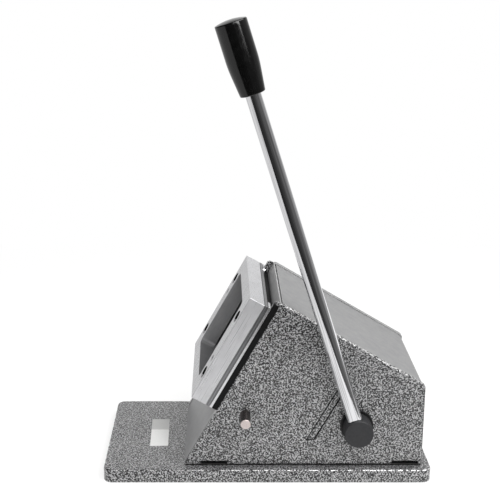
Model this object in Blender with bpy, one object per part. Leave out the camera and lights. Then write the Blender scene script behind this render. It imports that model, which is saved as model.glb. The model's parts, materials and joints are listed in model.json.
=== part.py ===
# Bench punch that rounds all four corners of a card in one pull of its lever.
# A steel body stands on a flat base plate. The die head leans back against the
# body, the card drops into the slot behind it, and a cam on the lever shaft
# drives the punch through the card and into the die.
# Metres, +Z up, +X towards the rear, the lever on the -Y side.
# The origin is the middle of the base plate's underside.

import math

import bmesh
import bpy
from mathutils import Matrix, Vector

# Clearances between pieces
SEAT_GAP = 0.0003
RUNNING_GAP = 0.0006
CUT_OVERRUN = 0.002

# Body: two side plates, a front plate and a bent cover
BODY_WIDTH = 0.123
BODY_DEPTH = 0.2037
SIDE_PLATE_THICKNESS = 0.005
INCLINE_ANGLE = math.radians(61.0)
FRONT_EDGE_LENGTH = 0.1676
TOP_SLOPE_ANGLE = math.radians(30.66)
FRONT_CORNER_RADIUS = 0.003
REAR_CORNER_RADIUS = 0.004
SIDE_EDGE_CHAMFER = 0.0004
RELIEF_HEIGHT = 0.0022
RELIEF_LENGTH = 0.0225
FRONT_RELIEF_SETBACK = 0.0146
REAR_RELIEF_SETBACK = 0.0030
FRONT_PLATE_THICKNESS = 0.006
COVER_THICKNESS = 0.003
COVER_INSET = 0.001
COVER_BEND_RADIUS = 0.005
FRONT_LIP_THICKNESS = 0.0012

# Base plate, with a margin round the body
BASE_THICKNESS = 0.012
BASE_FRONT_MARGIN = 0.0688
BASE_REAR_MARGIN = 0.0075
BASE_SIDE_MARGIN = 0.0085
BASE_CORNER_RADIUS = 0.0075
BASE_EDGE_RADIUS = 0.0012

# Die head, measured along the incline and outwards from the body's front
HEAD_TOP_DROP = 0.008
STRIPPER_THICKNESS = 0.0046
MOUTH_DROP = 0.0043
STRIPPER_EAR_RISE = 0.0046
STRIPPER_EAR_WIDTH = 0.0023
CHEEK_THICKNESS = 0.0022
CHEEK_CORNER_RADIUS = 0.002
GUIDE_THICKNESS = 0.0021
SLOT_SIDE_CLEARANCE = 0.0025
GUIDE_STOP_HEIGHT = 0.010
GUIDE_LEAD_IN = 0.002
DIE_PLATE_THICKNESS = 0.0029
DIE_PLATE_CHAMFER = 0.0003
DIE_CLEARANCE_STEP = 0.0004
DIE_BLOCK_THICKNESS = 0.0140
HEAD_EDGE_CHAMFER = 0.0003
WINDOW_LENGTH = 0.0767
HEAD_END_WALL = 0.01215
HEAD_SIDE_WALL = 0.019
WINDOW_CORNER_RADIUS = 0.005

# Cap screws and dowels that hold the head
SCREW_DIAMETER = 0.006
SCREW_HEAD_DIAMETER = 0.010
SCREW_HEAD_HEIGHT = 0.006
SCREW_SOCKET_WIDTH = 0.005
SCREW_SOCKET_DEPTH = 0.003
SCREW_END_INSET = 0.022
SCREW_SIDE_INSET = 0.0095
COUNTERBORE_DIAMETER = 0.011
COUNTERBORE_DEPTH = 0.008
DOWEL_DIAMETER = 0.005
DOWEL_SCREW_SPACING = 0.0145
DOWEL_RECESS = 0.0015
DOWEL_END_DEPTH = 0.003
DOWEL_CHAMFER = 0.0004

# Lever shaft and its bushes
AXLE_DEPTH = 0.110
AXLE_DROP = 0.0047
SHAFT_DIAMETER = 0.012
SHAFT_CHAMFER = 0.0005
BUSH_DIAMETER = 0.018
BUSH_FLANGE_DIAMETER = 0.028
BUSH_FLANGE_THICKNESS = 0.0025
COLLAR_DIAMETER = 0.024
COLLAR_WIDTH = 0.007
COLLAR_CHAMFER = 0.0008

# Lever
LEVER_REST_ANGLE = math.radians(107.8)
LEVER_SWING_ANGLE = math.radians(60.0)
HUB_DIAMETER = 0.0242
HUB_WIDTH = 0.0158
HUB_CHAMFER = 0.0006
HUB_END_WALL = 0.0019
HUB_SOCKET_FLOOR = 0.0009
ROD_DIAMETER = 0.0125
ROD_CHAMFER = 0.0006
KNOB_DISTANCE = 0.2963
KNOB_LENGTH = 0.0586
KNOB_LOWER_DIAMETER = 0.0203
KNOB_UPPER_DIAMETER = 0.0254
KNOB_TAPER_LENGTH = 0.0239
KNOB_BEND_RADIUS = 0.100
KNOB_DOME_RISE = 0.0017
KNOB_EDGE_RADIUS = 0.0010
KNOB_SOCKET_DEPTH = 0.026

# Stop pin that the lowered lever meets
STOP_PIN_DIAMETER = 0.0085
STOP_PIN_REACH = 0.0951
STOP_PIN_LENGTH = 0.0186
STOP_PIN_CHAMFER = 0.0004
STOP_CLEARANCE = 0.0005

# Ram: punch, its plate and the stem that the cam pushes
PUNCH_SETBACK = 0.0009
PUNCH_LENGTH = 0.0287
PUNCH_CLEARANCE = 0.0003
PUNCH_STROKE = 0.009
RAM_PLATE_THICKNESS = 0.010
RAM_PLATE_END_OVERHANG = 0.01365
RAM_PLATE_SIDE_OVERHANG = 0.0075
RAM_PLATE_CORNER_RADIUS = 0.004
POST_DIAMETER = 0.008
POST_TAIL = 0.008
POST_SEAT_DEPTH = 0.003
POST_EDGE_INSET = 0.0065
POST_SIDE_INSET = 0.020
POST_CHAMFER = 0.0005
STEM_LENGTH_ALONG_INCLINE = 0.020
STEM_WIDTH = 0.024
STEM_SLOT_WIDTH = 0.0092
STEM_TAIL = 0.0055
ROLLER_DIAMETER = 0.010
ROLLER_WIDTH = 0.008
ROLLER_PIN_DIAMETER = 0.005
CAM_WIDTH = 0.008
CAM_PITCH_RADIUS = 0.014
CAM_OVERTRAVEL = math.radians(10.0)

# Cross plate that guides the stem and ties the side plates together
CROSS_PLATE_THICKNESS = 0.006
CROSS_PLATE_LEAD = 0.0305
CROSS_PLATE_BELOW_AXLE = 0.0137
CROSS_PLATE_ABOVE_AXLE = 0.038

# Facet counts
ROUND_STEPS = 40
SMALL_ROUND_STEPS = 24
CORNER_STEPS = 5
CAM_STEPS = 72
SHARP_ANGLE = math.radians(30.0)

# Places that follow from the sizes above
BASE_LENGTH = BASE_FRONT_MARGIN + BODY_DEPTH + BASE_REAR_MARGIN
BASE_WIDTH = BODY_WIDTH + 2 * BASE_SIDE_MARGIN
FRONT_FOOT_X = BASE_FRONT_MARGIN - BASE_LENGTH / 2
BODY_REAR_X = FRONT_FOOT_X + BODY_DEPTH
BODY_FOOT_Z = BASE_THICKNESS + SEAT_GAP
FRONT_EDGE_RUN = FRONT_EDGE_LENGTH * math.cos(INCLINE_ANGLE)
FRONT_EDGE_HEIGHT = FRONT_EDGE_LENGTH * math.sin(INCLINE_ANGLE)
REAR_EDGE_HEIGHT = FRONT_EDGE_HEIGHT - (BODY_DEPTH - FRONT_EDGE_RUN) * math.tan(TOP_SLOPE_ANGLE)
REAR_TOP_Z = BASE_THICKNESS + REAR_EDGE_HEIGHT
SIDE_Y = BODY_WIDTH / 2
SIDE_INNER_Y = SIDE_Y - SIDE_PLATE_THICKNESS
BETWEEN_SIDES_Y = SIDE_INNER_Y - SEAT_GAP
WINDOW_WIDTH = BODY_WIDTH - 2 * HEAD_SIDE_WALL
HEAD_LENGTH = WINDOW_LENGTH + 2 * HEAD_END_WALL
HEAD_TOP = FRONT_EDGE_LENGTH - HEAD_TOP_DROP
HEAD_FOOT = HEAD_TOP - HEAD_LENGTH
HEAD_MIDDLE = (HEAD_TOP + HEAD_FOOT) / 2
GUIDE_SLOT_WIDTH = WINDOW_WIDTH + 2 * SLOT_SIDE_CLEARANCE
STRIPPER_BACK = SEAT_GAP
STRIPPER_FRONT = STRIPPER_BACK + STRIPPER_THICKNESS
GUIDE_BACK = STRIPPER_FRONT + SEAT_GAP
GUIDE_FRONT = GUIDE_BACK + GUIDE_THICKNESS
DIE_PLATE_BACK = GUIDE_FRONT + SEAT_GAP
DIE_PLATE_FRONT = DIE_PLATE_BACK + DIE_PLATE_THICKNESS
BLOCK_BACK = DIE_PLATE_FRONT + SEAT_GAP
BLOCK_FRONT = BLOCK_BACK + DIE_BLOCK_THICKNESS
AXLE_MIDDLE = HEAD_MIDDLE - AXLE_DROP
PUNCH_FRONT = STRIPPER_FRONT - PUNCH_SETBACK
PUNCH_BACK = PUNCH_FRONT - PUNCH_LENGTH
RAM_PLATE_LENGTH = WINDOW_LENGTH + 2 * RAM_PLATE_END_OVERHANG
RAM_PLATE_WIDTH = WINDOW_WIDTH + 2 * RAM_PLATE_SIDE_OVERHANG
RAM_PLATE_FRONT = PUNCH_BACK - SEAT_GAP
RAM_PLATE_BACK = RAM_PLATE_FRONT - RAM_PLATE_THICKNESS
STEM_FRONT = RAM_PLATE_BACK - SEAT_GAP
ROLLER_DEPTH = CAM_PITCH_RADIUS - AXLE_DEPTH
FASTENER_SIDE = SIDE_Y - SCREW_SIDE_INSET
DOWEL_CENTRE_OFFSET = HEAD_LENGTH / 2 - SCREW_END_INSET - DOWEL_SCREW_SPACING
COLLAR_INNER_Y = SIDE_Y + BUSH_FLANGE_THICKNESS + 2 * SEAT_GAP
ROD_START = SHAFT_DIAMETER / 2 + SEAT_GAP + HUB_SOCKET_FLOOR + SEAT_GAP
HUB_INNER_Y = -COLLAR_INNER_Y
HUB_OUTER_Y = HUB_INNER_Y - HUB_WIDTH
LEVER_Y = (HUB_INNER_Y + HUB_OUTER_Y) / 2
# Along the width a turned solid's own axis lies on Y
ALONG_WIDTH = Matrix.Rotation(math.radians(-90.0), 4, "X")


def on_incline(along, out):
    """World X and Z of a point given along the incline and outwards from it."""
    x = FRONT_FOOT_X + along * math.cos(INCLINE_ANGLE) - out * math.sin(INCLINE_ANGLE)
    z = BASE_THICKNESS + along * math.sin(INCLINE_ANGLE) + out * math.cos(INCLINE_ANGLE)
    return Vector((x, z))


AXLE = on_incline(AXLE_MIDDLE, -AXLE_DEPTH)
TOP_FRONT = on_incline(FRONT_EDGE_LENGTH, 0)
TOP_REAR = Vector((BODY_REAR_X, REAR_TOP_Z))
TOP_DIRECTION = (TOP_REAR - TOP_FRONT).normalized()
TOP_INWARD = Vector((TOP_DIRECTION.y, -TOP_DIRECTION.x))


# Outlines
def arc(centre, radius, start, end, steps):
    """Points on an arc, both ends included."""
    angles = [start + (end - start) * i / steps for i in range(steps + 1)]
    return [Vector((centre[0] + radius * math.cos(a), centre[1] + radius * math.sin(a))) for a in angles]


def circle(centre, radius, steps=SMALL_ROUND_STEPS):
    return arc(centre, radius, 0, math.tau, steps)[:-1]


def rounded_corners(points, radii):
    """Replace each corner of an outline by an arc that touches both its sides."""
    outline = []
    count = len(points)
    for i, radius in enumerate(radii):
        corner = Vector(points[i])
        if radius == 0:
            outline.append(corner)
            continue
        before = (Vector(points[i - 1]) - corner).normalized()
        after = (Vector(points[(i + 1) % count]) - corner).normalized()
        half = before.angle(after) / 2
        middle = corner + (before + after).normalized() * radius / math.sin(half)
        first = corner + before * radius / math.tan(half) - middle
        last = corner + after * radius / math.tan(half) - middle
        turn = first.angle_signed(last)
        for step in range(CORNER_STEPS + 1):
            spoke = first.copy()
            spoke.rotate(Matrix.Rotation(-turn * step / CORNER_STEPS, 2))
            outline.append(middle + spoke)
    return outline


def rounded_rectangle(centre, length, width, radius):
    half_length, half_width = length / 2, width / 2
    signs = ((1, 1), (-1, 1), (-1, -1), (1, -1))
    points = [(centre[0] + half_length * a, centre[1] + half_width * b) for a, b in signs]
    return rounded_corners(points, [radius] * len(points))


def meeting_point(point, direction, other_point, other_direction):
    """Where two lines cross."""
    across = Vector((-other_direction.y, other_direction.x))
    share = (other_point - point).dot(across) / direction.dot(across)
    return point + direction * share


# Solids
def add_object(name, mesh, parent=None, matrix=None):
    obj = bpy.data.objects.new(name, mesh)
    bpy.context.scene.collection.objects.link(obj)
    obj.parent = parent
    if matrix is not None:
        obj.matrix_local = matrix
    return obj


def mesh_from(name, bm):
    bmesh.ops.recalc_face_normals(bm, faces=bm.faces)
    mesh = bpy.data.meshes.new(name)
    bm.to_mesh(mesh)
    bm.free()
    mesh.shade_smooth()
    mesh.set_sharp_from_angle(angle=SHARP_ANGLE)
    return mesh


def prism(bm, outline, low, high, place):
    """A closed prism: the outline at two levels, capped and walled."""
    rings = [[bm.verts.new(place(point, level)) for point in outline] for level in (low, high)]
    bm.faces.new(rings[0])
    bm.faces.new(rings[1])
    count = len(outline)
    for i in range(count):
        j = (i + 1) % count
        bm.faces.new((rings[0][i], rings[0][j], rings[1][j], rings[1][i]))


def flat_place(point, level):
    return Vector((point[0], point[1], level))


def upright_place(point, level):
    return Vector((point[0], level, point[1]))


def slab(name, outlines, low, high, parent=None, place=flat_place):
    """One or more prisms in one mesh. Each outline is a list of 2D points."""
    bm = bmesh.new()
    for outline in outlines:
        prism(bm, outline, low, high, place)
    return add_object(name, mesh_from(name, bm), parent)


def side_slab(name, outlines, low, high, parent=None):
    """Outlines drawn in the XZ plane and pushed out along Y."""
    return slab(name, outlines, low, high, parent, upright_place)


def turned(name, profile, parent=None, matrix=None, steps=ROUND_STEPS, closed=False):
    """Spin a profile of (radius, height) points about its own Z axis."""
    bm = bmesh.new()
    verts = [bm.verts.new((radius, 0, height)) for radius, height in profile]
    edges = [bm.edges.new(pair) for pair in zip(verts, verts[1:])]
    if closed:
        edges.append(bm.edges.new((verts[-1], verts[0])))
    bmesh.ops.spin(bm, geom=verts + edges, axis=(0, 0, 1), cent=(0, 0, 0), angle=math.tau, steps=steps)
    bmesh.ops.remove_doubles(bm, verts=bm.verts, dist=SEAT_GAP / ROUND_STEPS)
    return add_object(name, mesh_from(name, bm), parent, matrix)


def tube_profile(inner, outer, low, high, chamfer=0.0):
    points = [(inner, low), (outer - chamfer, low), (outer, low + chamfer)]
    points += [(outer, high - chamfer), (outer - chamfer, high), (inner, high)]
    return points if chamfer else [points[0], points[1], points[4], points[5]]


def rod_profile(radius, low, high, chamfer):
    points = [(0, low), (radius - chamfer, low), (radius, low + chamfer)]
    return points + [(radius, high - chamfer), (radius - chamfer, high), (0, high)]


def soften(obj, width, segments=1):
    bevel = obj.modifiers.new("soft_edges", "BEVEL")
    bevel.width = width
    bevel.segments = segments
    bevel.limit_method = "ANGLE"
    bevel.angle_limit = SHARP_ANGLE
    bevel.harden_normals = False


def cut(target, cutter):
    cutter.hide_render = True
    cutter.display_type = "WIRE"
    boolean = target.modifiers.new(cutter.name, "BOOLEAN")
    boolean.operation = "DIFFERENCE"
    boolean.solver = "EXACT"
    boolean.object = cutter


def paint(obj, material):
    obj.data.materials.append(material)
    return obj


def make_material(name, colour, roughness, metallic):
    material = bpy.data.materials.new(name)
    material.use_nodes = True
    shader = material.node_tree.nodes["Principled BSDF"]
    shader.inputs["Base Color"].default_value = (*colour, 1.0)
    shader.inputs["Roughness"].default_value = roughness
    shader.inputs["Metallic"].default_value = metallic
    material.diffuse_color = (*colour, 1.0)
    return material


def make_empty(name, location, rotation_y=0.0, parent=None):
    empty = bpy.data.objects.new(name, None)
    bpy.context.scene.collection.objects.link(empty)
    empty.empty_display_size = SIDE_PLATE_THICKNESS
    empty.parent = parent
    empty.location = location
    empty.rotation_euler = (0, rotation_y, 0)
    return empty


# Base plate
def make_base_plate(paints):
    outline = rounded_rectangle((0, 0), BASE_LENGTH, BASE_WIDTH, BASE_CORNER_RADIUS)
    base = slab("base_plate", [outline], 0, BASE_THICKNESS)
    soften(base, BASE_EDGE_RADIUS, 3)
    return paint(base, paints["hammertone"])


# Side plates
def side_plate_outline():
    """Sloping front and top, upright rear, and a shallow relief near each foot."""
    foot = FRONT_FOOT_X + SEAT_GAP / math.tan(INCLINE_ANGLE)
    relief_top = BODY_FOOT_Z + RELIEF_HEIGHT
    front_relief = FRONT_FOOT_X + FRONT_RELIEF_SETBACK
    rear_relief = BODY_REAR_X - REAR_RELIEF_SETBACK
    points = [(foot, BODY_FOOT_Z)]
    for start in (front_relief, rear_relief - RELIEF_LENGTH):
        end = start + RELIEF_LENGTH
        points += [(start, BODY_FOOT_Z), (start, relief_top), (end, relief_top), (end, BODY_FOOT_Z)]
    points += [(BODY_REAR_X, BODY_FOOT_Z), tuple(TOP_REAR), tuple(TOP_FRONT)]
    radii = [0.0] * (len(points) - 2) + [REAR_CORNER_RADIUS, FRONT_CORNER_RADIUS]
    return rounded_corners(points, radii)


def cross_plate_outline(gap):
    """Section of the cross plate, a band parallel to the head with level ends."""
    front = CROSS_PLATE_LEAD - AXLE_DEPTH + gap
    back = front - CROSS_PLATE_THICKNESS - 2 * gap
    low = AXLE.y - CROSS_PLATE_BELOW_AXLE - gap
    high = AXLE.y + CROSS_PLATE_ABOVE_AXLE + gap
    level = Vector((1, 0))
    up = Vector((math.cos(INCLINE_ANGLE), math.sin(INCLINE_ANGLE)))
    corners = ((front, low), (back, low), (back, high), (front, high))
    return [meeting_point(on_incline(0, out), up, Vector((0, z)), level) for out, z in corners]


def stop_pin_place():
    touch = (STOP_PIN_DIAMETER + ROD_DIAMETER) / 2 + STOP_CLEARANCE
    angle = LEVER_REST_ANGLE + LEVER_SWING_ANGLE + math.asin(touch / STOP_PIN_REACH)
    return AXLE + Vector((math.cos(angle), math.sin(angle))) * STOP_PIN_REACH


def make_side_plate(name, side, paints):
    """side is -1 at the lever and 1 on the far side."""
    low, high = sorted((side * SIDE_Y, side * SIDE_INNER_Y))
    plate = side_slab(name, [side_plate_outline()], low, high)
    soften(plate, SIDE_EDGE_CHAMFER)
    holes = [circle(AXLE, BUSH_DIAMETER / 2 + SEAT_GAP), cross_plate_outline(SEAT_GAP)]
    if side < 0:
        holes.append(circle(stop_pin_place(), STOP_PIN_DIAMETER / 2 + SEAT_GAP))
    cut(plate, side_slab(name + "_holes", holes, low - CUT_OVERRUN, high + CUT_OVERRUN))
    return paint(plate, paints["hammertone"])


# Cross plate
def make_cross_plate(incline, paints):
    plate = side_slab("cross_plate", [cross_plate_outline(0)], -SIDE_Y, SIDE_Y)
    length = STEM_LENGTH_ALONG_INCLINE + 2 * SEAT_GAP
    width = STEM_WIDTH + 2 * SEAT_GAP
    window = rounded_rectangle((AXLE_MIDDLE, 0), length, width, 0)
    front = CROSS_PLATE_LEAD - AXLE_DEPTH
    low = front - CROSS_PLATE_THICKNESS - CUT_OVERRUN
    cut(plate, slab("cross_plate_window", [window], low, front + CUT_OVERRUN, incline))
    return paint(plate, paints["hammertone"])


# Front plate
def fastener_places():
    """Places of the cap screws and the dowels, along the incline and across."""
    ends = (HEAD_FOOT + SCREW_END_INSET, HEAD_TOP - SCREW_END_INSET)
    screws = [(end, side * FASTENER_SIDE) for end in ends for side in (-1, 1)]
    dowels = [(HEAD_MIDDLE + side * DOWEL_CENTRE_OFFSET, side * FASTENER_SIDE) for side in (-1, 1)]
    return screws, dowels


def post_places():
    reach = RAM_PLATE_LENGTH / 2 - POST_EDGE_INSET
    spread = RAM_PLATE_WIDTH / 2 - POST_SIDE_INSET
    return [(HEAD_MIDDLE + a * reach, b * spread) for a in (-1, 1) for b in (-1, 1)]


def fastener_holes():
    screws, dowels = fastener_places()
    holes = [circle(place, SCREW_DIAMETER / 2 + SEAT_GAP) for place in screws]
    return holes + [circle(place, DOWEL_DIAMETER / 2 + SEAT_GAP) for place in dowels]


def cover_line():
    """A point and the direction of the cover's outer face."""
    return TOP_FRONT + TOP_INWARD * COVER_INSET, TOP_DIRECTION


def front_plate_outline():
    """Level foot on the base plate. The top is rebated for the cover and ends in a thin lip."""
    up = Vector((math.cos(INCLINE_ANGLE), math.sin(INCLINE_ANGLE)))
    foot = Vector((0, BODY_FOOT_Z))
    level = Vector((1, 0))
    top_point, top_direction = cover_line()
    front, lip, back = (on_incline(0, -depth) for depth in (0, FRONT_LIP_THICKNESS, FRONT_PLATE_THICKNESS))
    rebate = top_point + TOP_INWARD * (COVER_THICKNESS + SEAT_GAP)
    return [
        meeting_point(front, up, foot, level),
        meeting_point(back, up, foot, level),
        meeting_point(back, up, rebate, top_direction),
        meeting_point(lip, up, rebate, top_direction),
        meeting_point(lip, up, top_point, top_direction),
        meeting_point(front, up, top_point, top_direction),
    ]


def punch_window():
    length, width, radius = (size + RUNNING_GAP for size in punch_size())
    return rounded_rectangle((HEAD_MIDDLE, 0), length + RUNNING_GAP, width + RUNNING_GAP, radius)


def make_front_plate(incline, paints):
    outline = front_plate_outline()
    plate = side_slab("front_plate", [outline], -BETWEEN_SIDES_Y, BETWEEN_SIDES_Y)
    low, high = -FRONT_PLATE_THICKNESS - CUT_OVERRUN, CUT_OVERRUN
    cut(plate, slab("front_plate_holes", [punch_window()] + fastener_holes(), low, high, incline))
    seats = [circle(place, POST_DIAMETER / 2 + SEAT_GAP) for place in post_places()]
    seat_floor = POST_SEAT_DEPTH + SEAT_GAP - FRONT_PLATE_THICKNESS
    cut(plate, slab("front_plate_post_seats", seats, low, seat_floor, incline))
    return paint(plate, paints["panel_paint"])


# Cover, bent from one sheet: the sloping top and the upright rear
def cover_outline():
    up = Vector((math.cos(INCLINE_ANGLE), math.sin(INCLINE_ANGLE)))
    lip_back = on_incline(0, -FRONT_LIP_THICKNESS - SEAT_GAP)
    top_point, top_direction = cover_line()
    rear_x = BODY_REAR_X - COVER_INSET
    down = Vector((0, 1))
    outline_sides = []
    for depth in (0, COVER_THICKNESS):
        point = top_point + TOP_INWARD * depth
        rear = Vector((rear_x - depth, BODY_FOOT_Z))
        start = meeting_point(lip_back, up, point, top_direction)
        outline_sides.append([start, meeting_point(point, top_direction, rear, down), rear])
    outer, inner = outline_sides
    points = outer + inner[::-1]
    radii = [0, COVER_BEND_RADIUS, 0, 0, max(COVER_BEND_RADIUS - COVER_THICKNESS, 0), 0]
    return rounded_corners(points, radii)


def make_cover(paints):
    cover = side_slab("cover", [cover_outline()], -BETWEEN_SIDES_Y, BETWEEN_SIDES_Y)
    return paint(cover, paints["panel_paint"])


# Die head
def window_outline(shrink=0.0):
    length, width = WINDOW_LENGTH - 2 * shrink, WINDOW_WIDTH - 2 * shrink
    return rounded_rectangle((HEAD_MIDDLE, 0), length, width, WINDOW_CORNER_RADIUS - shrink)


def punch_size():
    shrink = DIE_CLEARANCE_STEP + PUNCH_CLEARANCE
    return WINDOW_LENGTH - 2 * shrink, WINDOW_WIDTH - 2 * shrink, WINDOW_CORNER_RADIUS - shrink


def head_rectangle():
    return rounded_rectangle((HEAD_MIDDLE, 0), HEAD_LENGTH, BODY_WIDTH, 0)


def make_die_block(incline, paints):
    block = slab("die_block", [head_rectangle()], BLOCK_BACK, BLOCK_FRONT, incline)
    soften(block, HEAD_EDGE_CHAMFER)
    low, high = BLOCK_BACK - CUT_OVERRUN, BLOCK_FRONT + CUT_OVERRUN
    cut(block, slab("die_block_holes", [window_outline()] + fastener_holes(), low, high, incline))
    bores = [circle(place, COUNTERBORE_DIAMETER / 2) for place in fastener_places()[0]]
    cut(block, slab("die_block_counterbores", bores, BLOCK_FRONT - COUNTERBORE_DEPTH, high, incline))
    return paint(block, paints["ground_steel"])


def make_die_plate(incline, paints):
    """Hardened plate with the cutting edge. Its rear edges are chamfered as a lead-in."""
    bm = bmesh.new()
    prism(bm, head_rectangle(), DIE_PLATE_BACK, DIE_PLATE_FRONT, flat_place)
    middle = (DIE_PLATE_BACK + DIE_PLATE_FRONT) / 2
    rear = [edge for edge in bm.edges if all(vert.co.z < middle for vert in edge.verts)]
    bmesh.ops.bevel(bm, geom=rear, offset=DIE_PLATE_CHAMFER, segments=1, affect="EDGES")
    plate = add_object("die_plate", mesh_from("die_plate", bm), incline)
    holes = [window_outline(DIE_CLEARANCE_STEP)] + fastener_holes()
    low, high = DIE_PLATE_BACK - CUT_OVERRUN, DIE_PLATE_FRONT + CUT_OVERRUN
    cut(plate, slab("die_plate_holes", holes, low, high, incline))
    return paint(plate, paints["die_steel"])


def stripper_outline():
    """A plate whose top is let down into a mouth for the card, between two ears."""
    inner, ear_top, mouth = SIDE_Y - STRIPPER_EAR_WIDTH, HEAD_TOP + STRIPPER_EAR_RISE, HEAD_TOP - MOUTH_DROP
    half = [(HEAD_FOOT, SIDE_Y), (ear_top, SIDE_Y), (ear_top, inner), (mouth, inner)]
    return half + [(along, -across) for along, across in reversed(half)]


def make_stripper_plate(incline, paints):
    """Holds the card back as the punch is drawn out of it."""
    plate = slab("stripper_plate", [stripper_outline()], STRIPPER_BACK, STRIPPER_FRONT, incline)
    low, high = STRIPPER_BACK - CUT_OVERRUN, STRIPPER_FRONT + CUT_OVERRUN
    cut(plate, slab("stripper_plate_holes", [punch_window()] + fastener_holes(), low, high, incline))
    return paint(plate, paints["black_oxide"])


def make_slot_cheek(name, side, paints):
    """Closes one end of the mouth. side is -1 at the lever and 1 on the far side."""
    low, high = HEAD_TOP - MOUTH_DROP + SEAT_GAP, FRONT_EDGE_LENGTH - COVER_INSET
    corners = ((low, STRIPPER_BACK), (low, STRIPPER_FRONT), (high, STRIPPER_FRONT), (high, STRIPPER_BACK))
    outline = rounded_corners([on_incline(*corner) for corner in corners], [0, 0, CHEEK_CORNER_RADIUS, 0])
    outer = SIDE_Y - STRIPPER_EAR_WIDTH - SEAT_GAP
    first, last = sorted((side * outer, side * (outer - CHEEK_THICKNESS)))
    return paint(side_slab(name, [outline], first, last), paints["hammertone"])


def feed_guide_outline():
    """A fork, open at the top, whose arms flare where the card goes in."""
    half_slot, floor = GUIDE_SLOT_WIDTH / 2, HEAD_FOOT + GUIDE_STOP_HEIGHT
    flare_foot = HEAD_TOP - 2 * GUIDE_LEAD_IN
    arm = [(HEAD_TOP, half_slot + GUIDE_LEAD_IN), (flare_foot, half_slot), (floor, half_slot)]
    outer = [(HEAD_FOOT, SIDE_Y), (HEAD_TOP, SIDE_Y)]
    mirrored = [(along, -across) for along, across in reversed(outer + arm)]
    return outer + arm + mirrored


def make_feed_guide(incline, paints):
    guide = slab("feed_guide", [feed_guide_outline()], GUIDE_BACK, GUIDE_FRONT, incline)
    low, high = GUIDE_BACK - CUT_OVERRUN, GUIDE_FRONT + CUT_OVERRUN
    cut(guide, slab("feed_guide_holes", fastener_holes(), low, high, incline))
    return paint(guide, paints["ground_steel"])


def hexagon(centre, width):
    return circle(centre, width / math.sqrt(3), 6)


def make_cap_screws(incline, paints):
    """Socket head cap screws, sunk in the block and threaded into the front plate."""
    seat = BLOCK_FRONT - COUNTERBORE_DEPTH + SEAT_GAP
    top = seat + SCREW_HEAD_HEIGHT
    end = SEAT_GAP - FRONT_PLATE_THICKNESS
    shank, head = SCREW_DIAMETER / 2, SCREW_HEAD_DIAMETER / 2
    edge = SEAT_GAP
    profile = [(0, end), (shank - edge, end), (shank, end + edge), (shank, seat), (head, seat)]
    profile += [(head, top - edge), (head - edge, top), (0, top)]
    screws = []
    for number, (along, across) in enumerate(fastener_places()[0], 1):
        place = Matrix.Translation((along, across, 0))
        screw = turned("cap_screw_%d" % number, profile, incline, place, SMALL_ROUND_STEPS)
        socket = [hexagon((along, across), SCREW_SOCKET_WIDTH)]
        low, high = top - SCREW_SOCKET_DEPTH, top + CUT_OVERRUN
        cut(screw, slab("cap_screw_socket_%d" % number, socket, low, high, incline))
        screws.append(paint(screw, paints["black_oxide"]))
    return screws


def make_dowels(incline, paints):
    low, high = -DOWEL_END_DEPTH, BLOCK_FRONT - DOWEL_RECESS
    profile = rod_profile(DOWEL_DIAMETER / 2, low, high, DOWEL_CHAMFER)
    for number, (along, across) in enumerate(fastener_places()[1], 1):
        place = Matrix.Translation((along, across, 0))
        dowel = turned("dowel_%d" % number, profile, incline, place, SMALL_ROUND_STEPS)
        paint(dowel, paints["die_steel"])


# Ram
def make_punch(ram, paints):
    length, width, radius = punch_size()
    outline = rounded_rectangle((HEAD_MIDDLE - AXLE_MIDDLE, 0), length, width, radius)
    return paint(slab("punch", [outline], PUNCH_BACK, PUNCH_FRONT, ram), paints["die_steel"])


def make_ram_plate(ram, paints):
    middle = HEAD_MIDDLE - AXLE_MIDDLE
    outline = rounded_rectangle((middle, 0), RAM_PLATE_LENGTH, RAM_PLATE_WIDTH, RAM_PLATE_CORNER_RADIUS)
    plate = slab("ram_plate", [outline], RAM_PLATE_BACK, RAM_PLATE_FRONT, ram)
    radius = POST_DIAMETER / 2 + SEAT_GAP
    holes = [circle((along - AXLE_MIDDLE, across), radius) for along, across in post_places()]
    low, high = RAM_PLATE_BACK - CUT_OVERRUN, RAM_PLATE_FRONT + CUT_OVERRUN
    cut(plate, slab("ram_plate_post_holes", holes, low, high, ram))
    return paint(plate, paints["plain_steel"])


def make_ram_stem(ram, paints):
    """Square bar, forked at its rear end round the roller."""
    half, slot = STEM_WIDTH / 2, STEM_SLOT_WIDTH / 2
    tail = ROLLER_DEPTH - STEM_TAIL
    floor = ROLLER_DEPTH + ROLLER_DIAMETER / 2 + RUNNING_GAP
    right = [(slot, tail), (half, tail), (half, STEM_FRONT)]
    left = [(-across, out) for across, out in reversed(right)]
    outline = right + left + [(-slot, floor), (slot, floor)]
    low, high = -STEM_LENGTH_ALONG_INCLINE / 2, STEM_LENGTH_ALONG_INCLINE / 2

    def place(point, level):
        return Vector((level, point[0], point[1]))

    stem = slab("ram_stem", [outline], low, high, ram, place)
    bore = circle((0, ROLLER_DEPTH), ROLLER_PIN_DIAMETER / 2 + SEAT_GAP)
    cut(stem, side_slab("ram_stem_bore", [bore], -half - CUT_OVERRUN, half + CUT_OVERRUN, ram))
    return paint(stem, paints["plain_steel"])


def make_roller(ram, paints):
    place = Matrix.Translation((0, 0, ROLLER_DEPTH)) @ ALONG_WIDTH
    inner, outer = ROLLER_PIN_DIAMETER / 2 + SEAT_GAP, ROLLER_DIAMETER / 2
    profile = tube_profile(inner, outer, -ROLLER_WIDTH / 2, ROLLER_WIDTH / 2)
    roller = turned("cam_roller", profile, ram, place, SMALL_ROUND_STEPS, True)
    reach = STEM_WIDTH / 2 - SEAT_GAP
    pin = turned("roller_pin", rod_profile(ROLLER_PIN_DIAMETER / 2, -reach, reach, DOWEL_CHAMFER), ram, place)
    paint(roller, paints["die_steel"])
    return paint(pin, paints["die_steel"])


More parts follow.
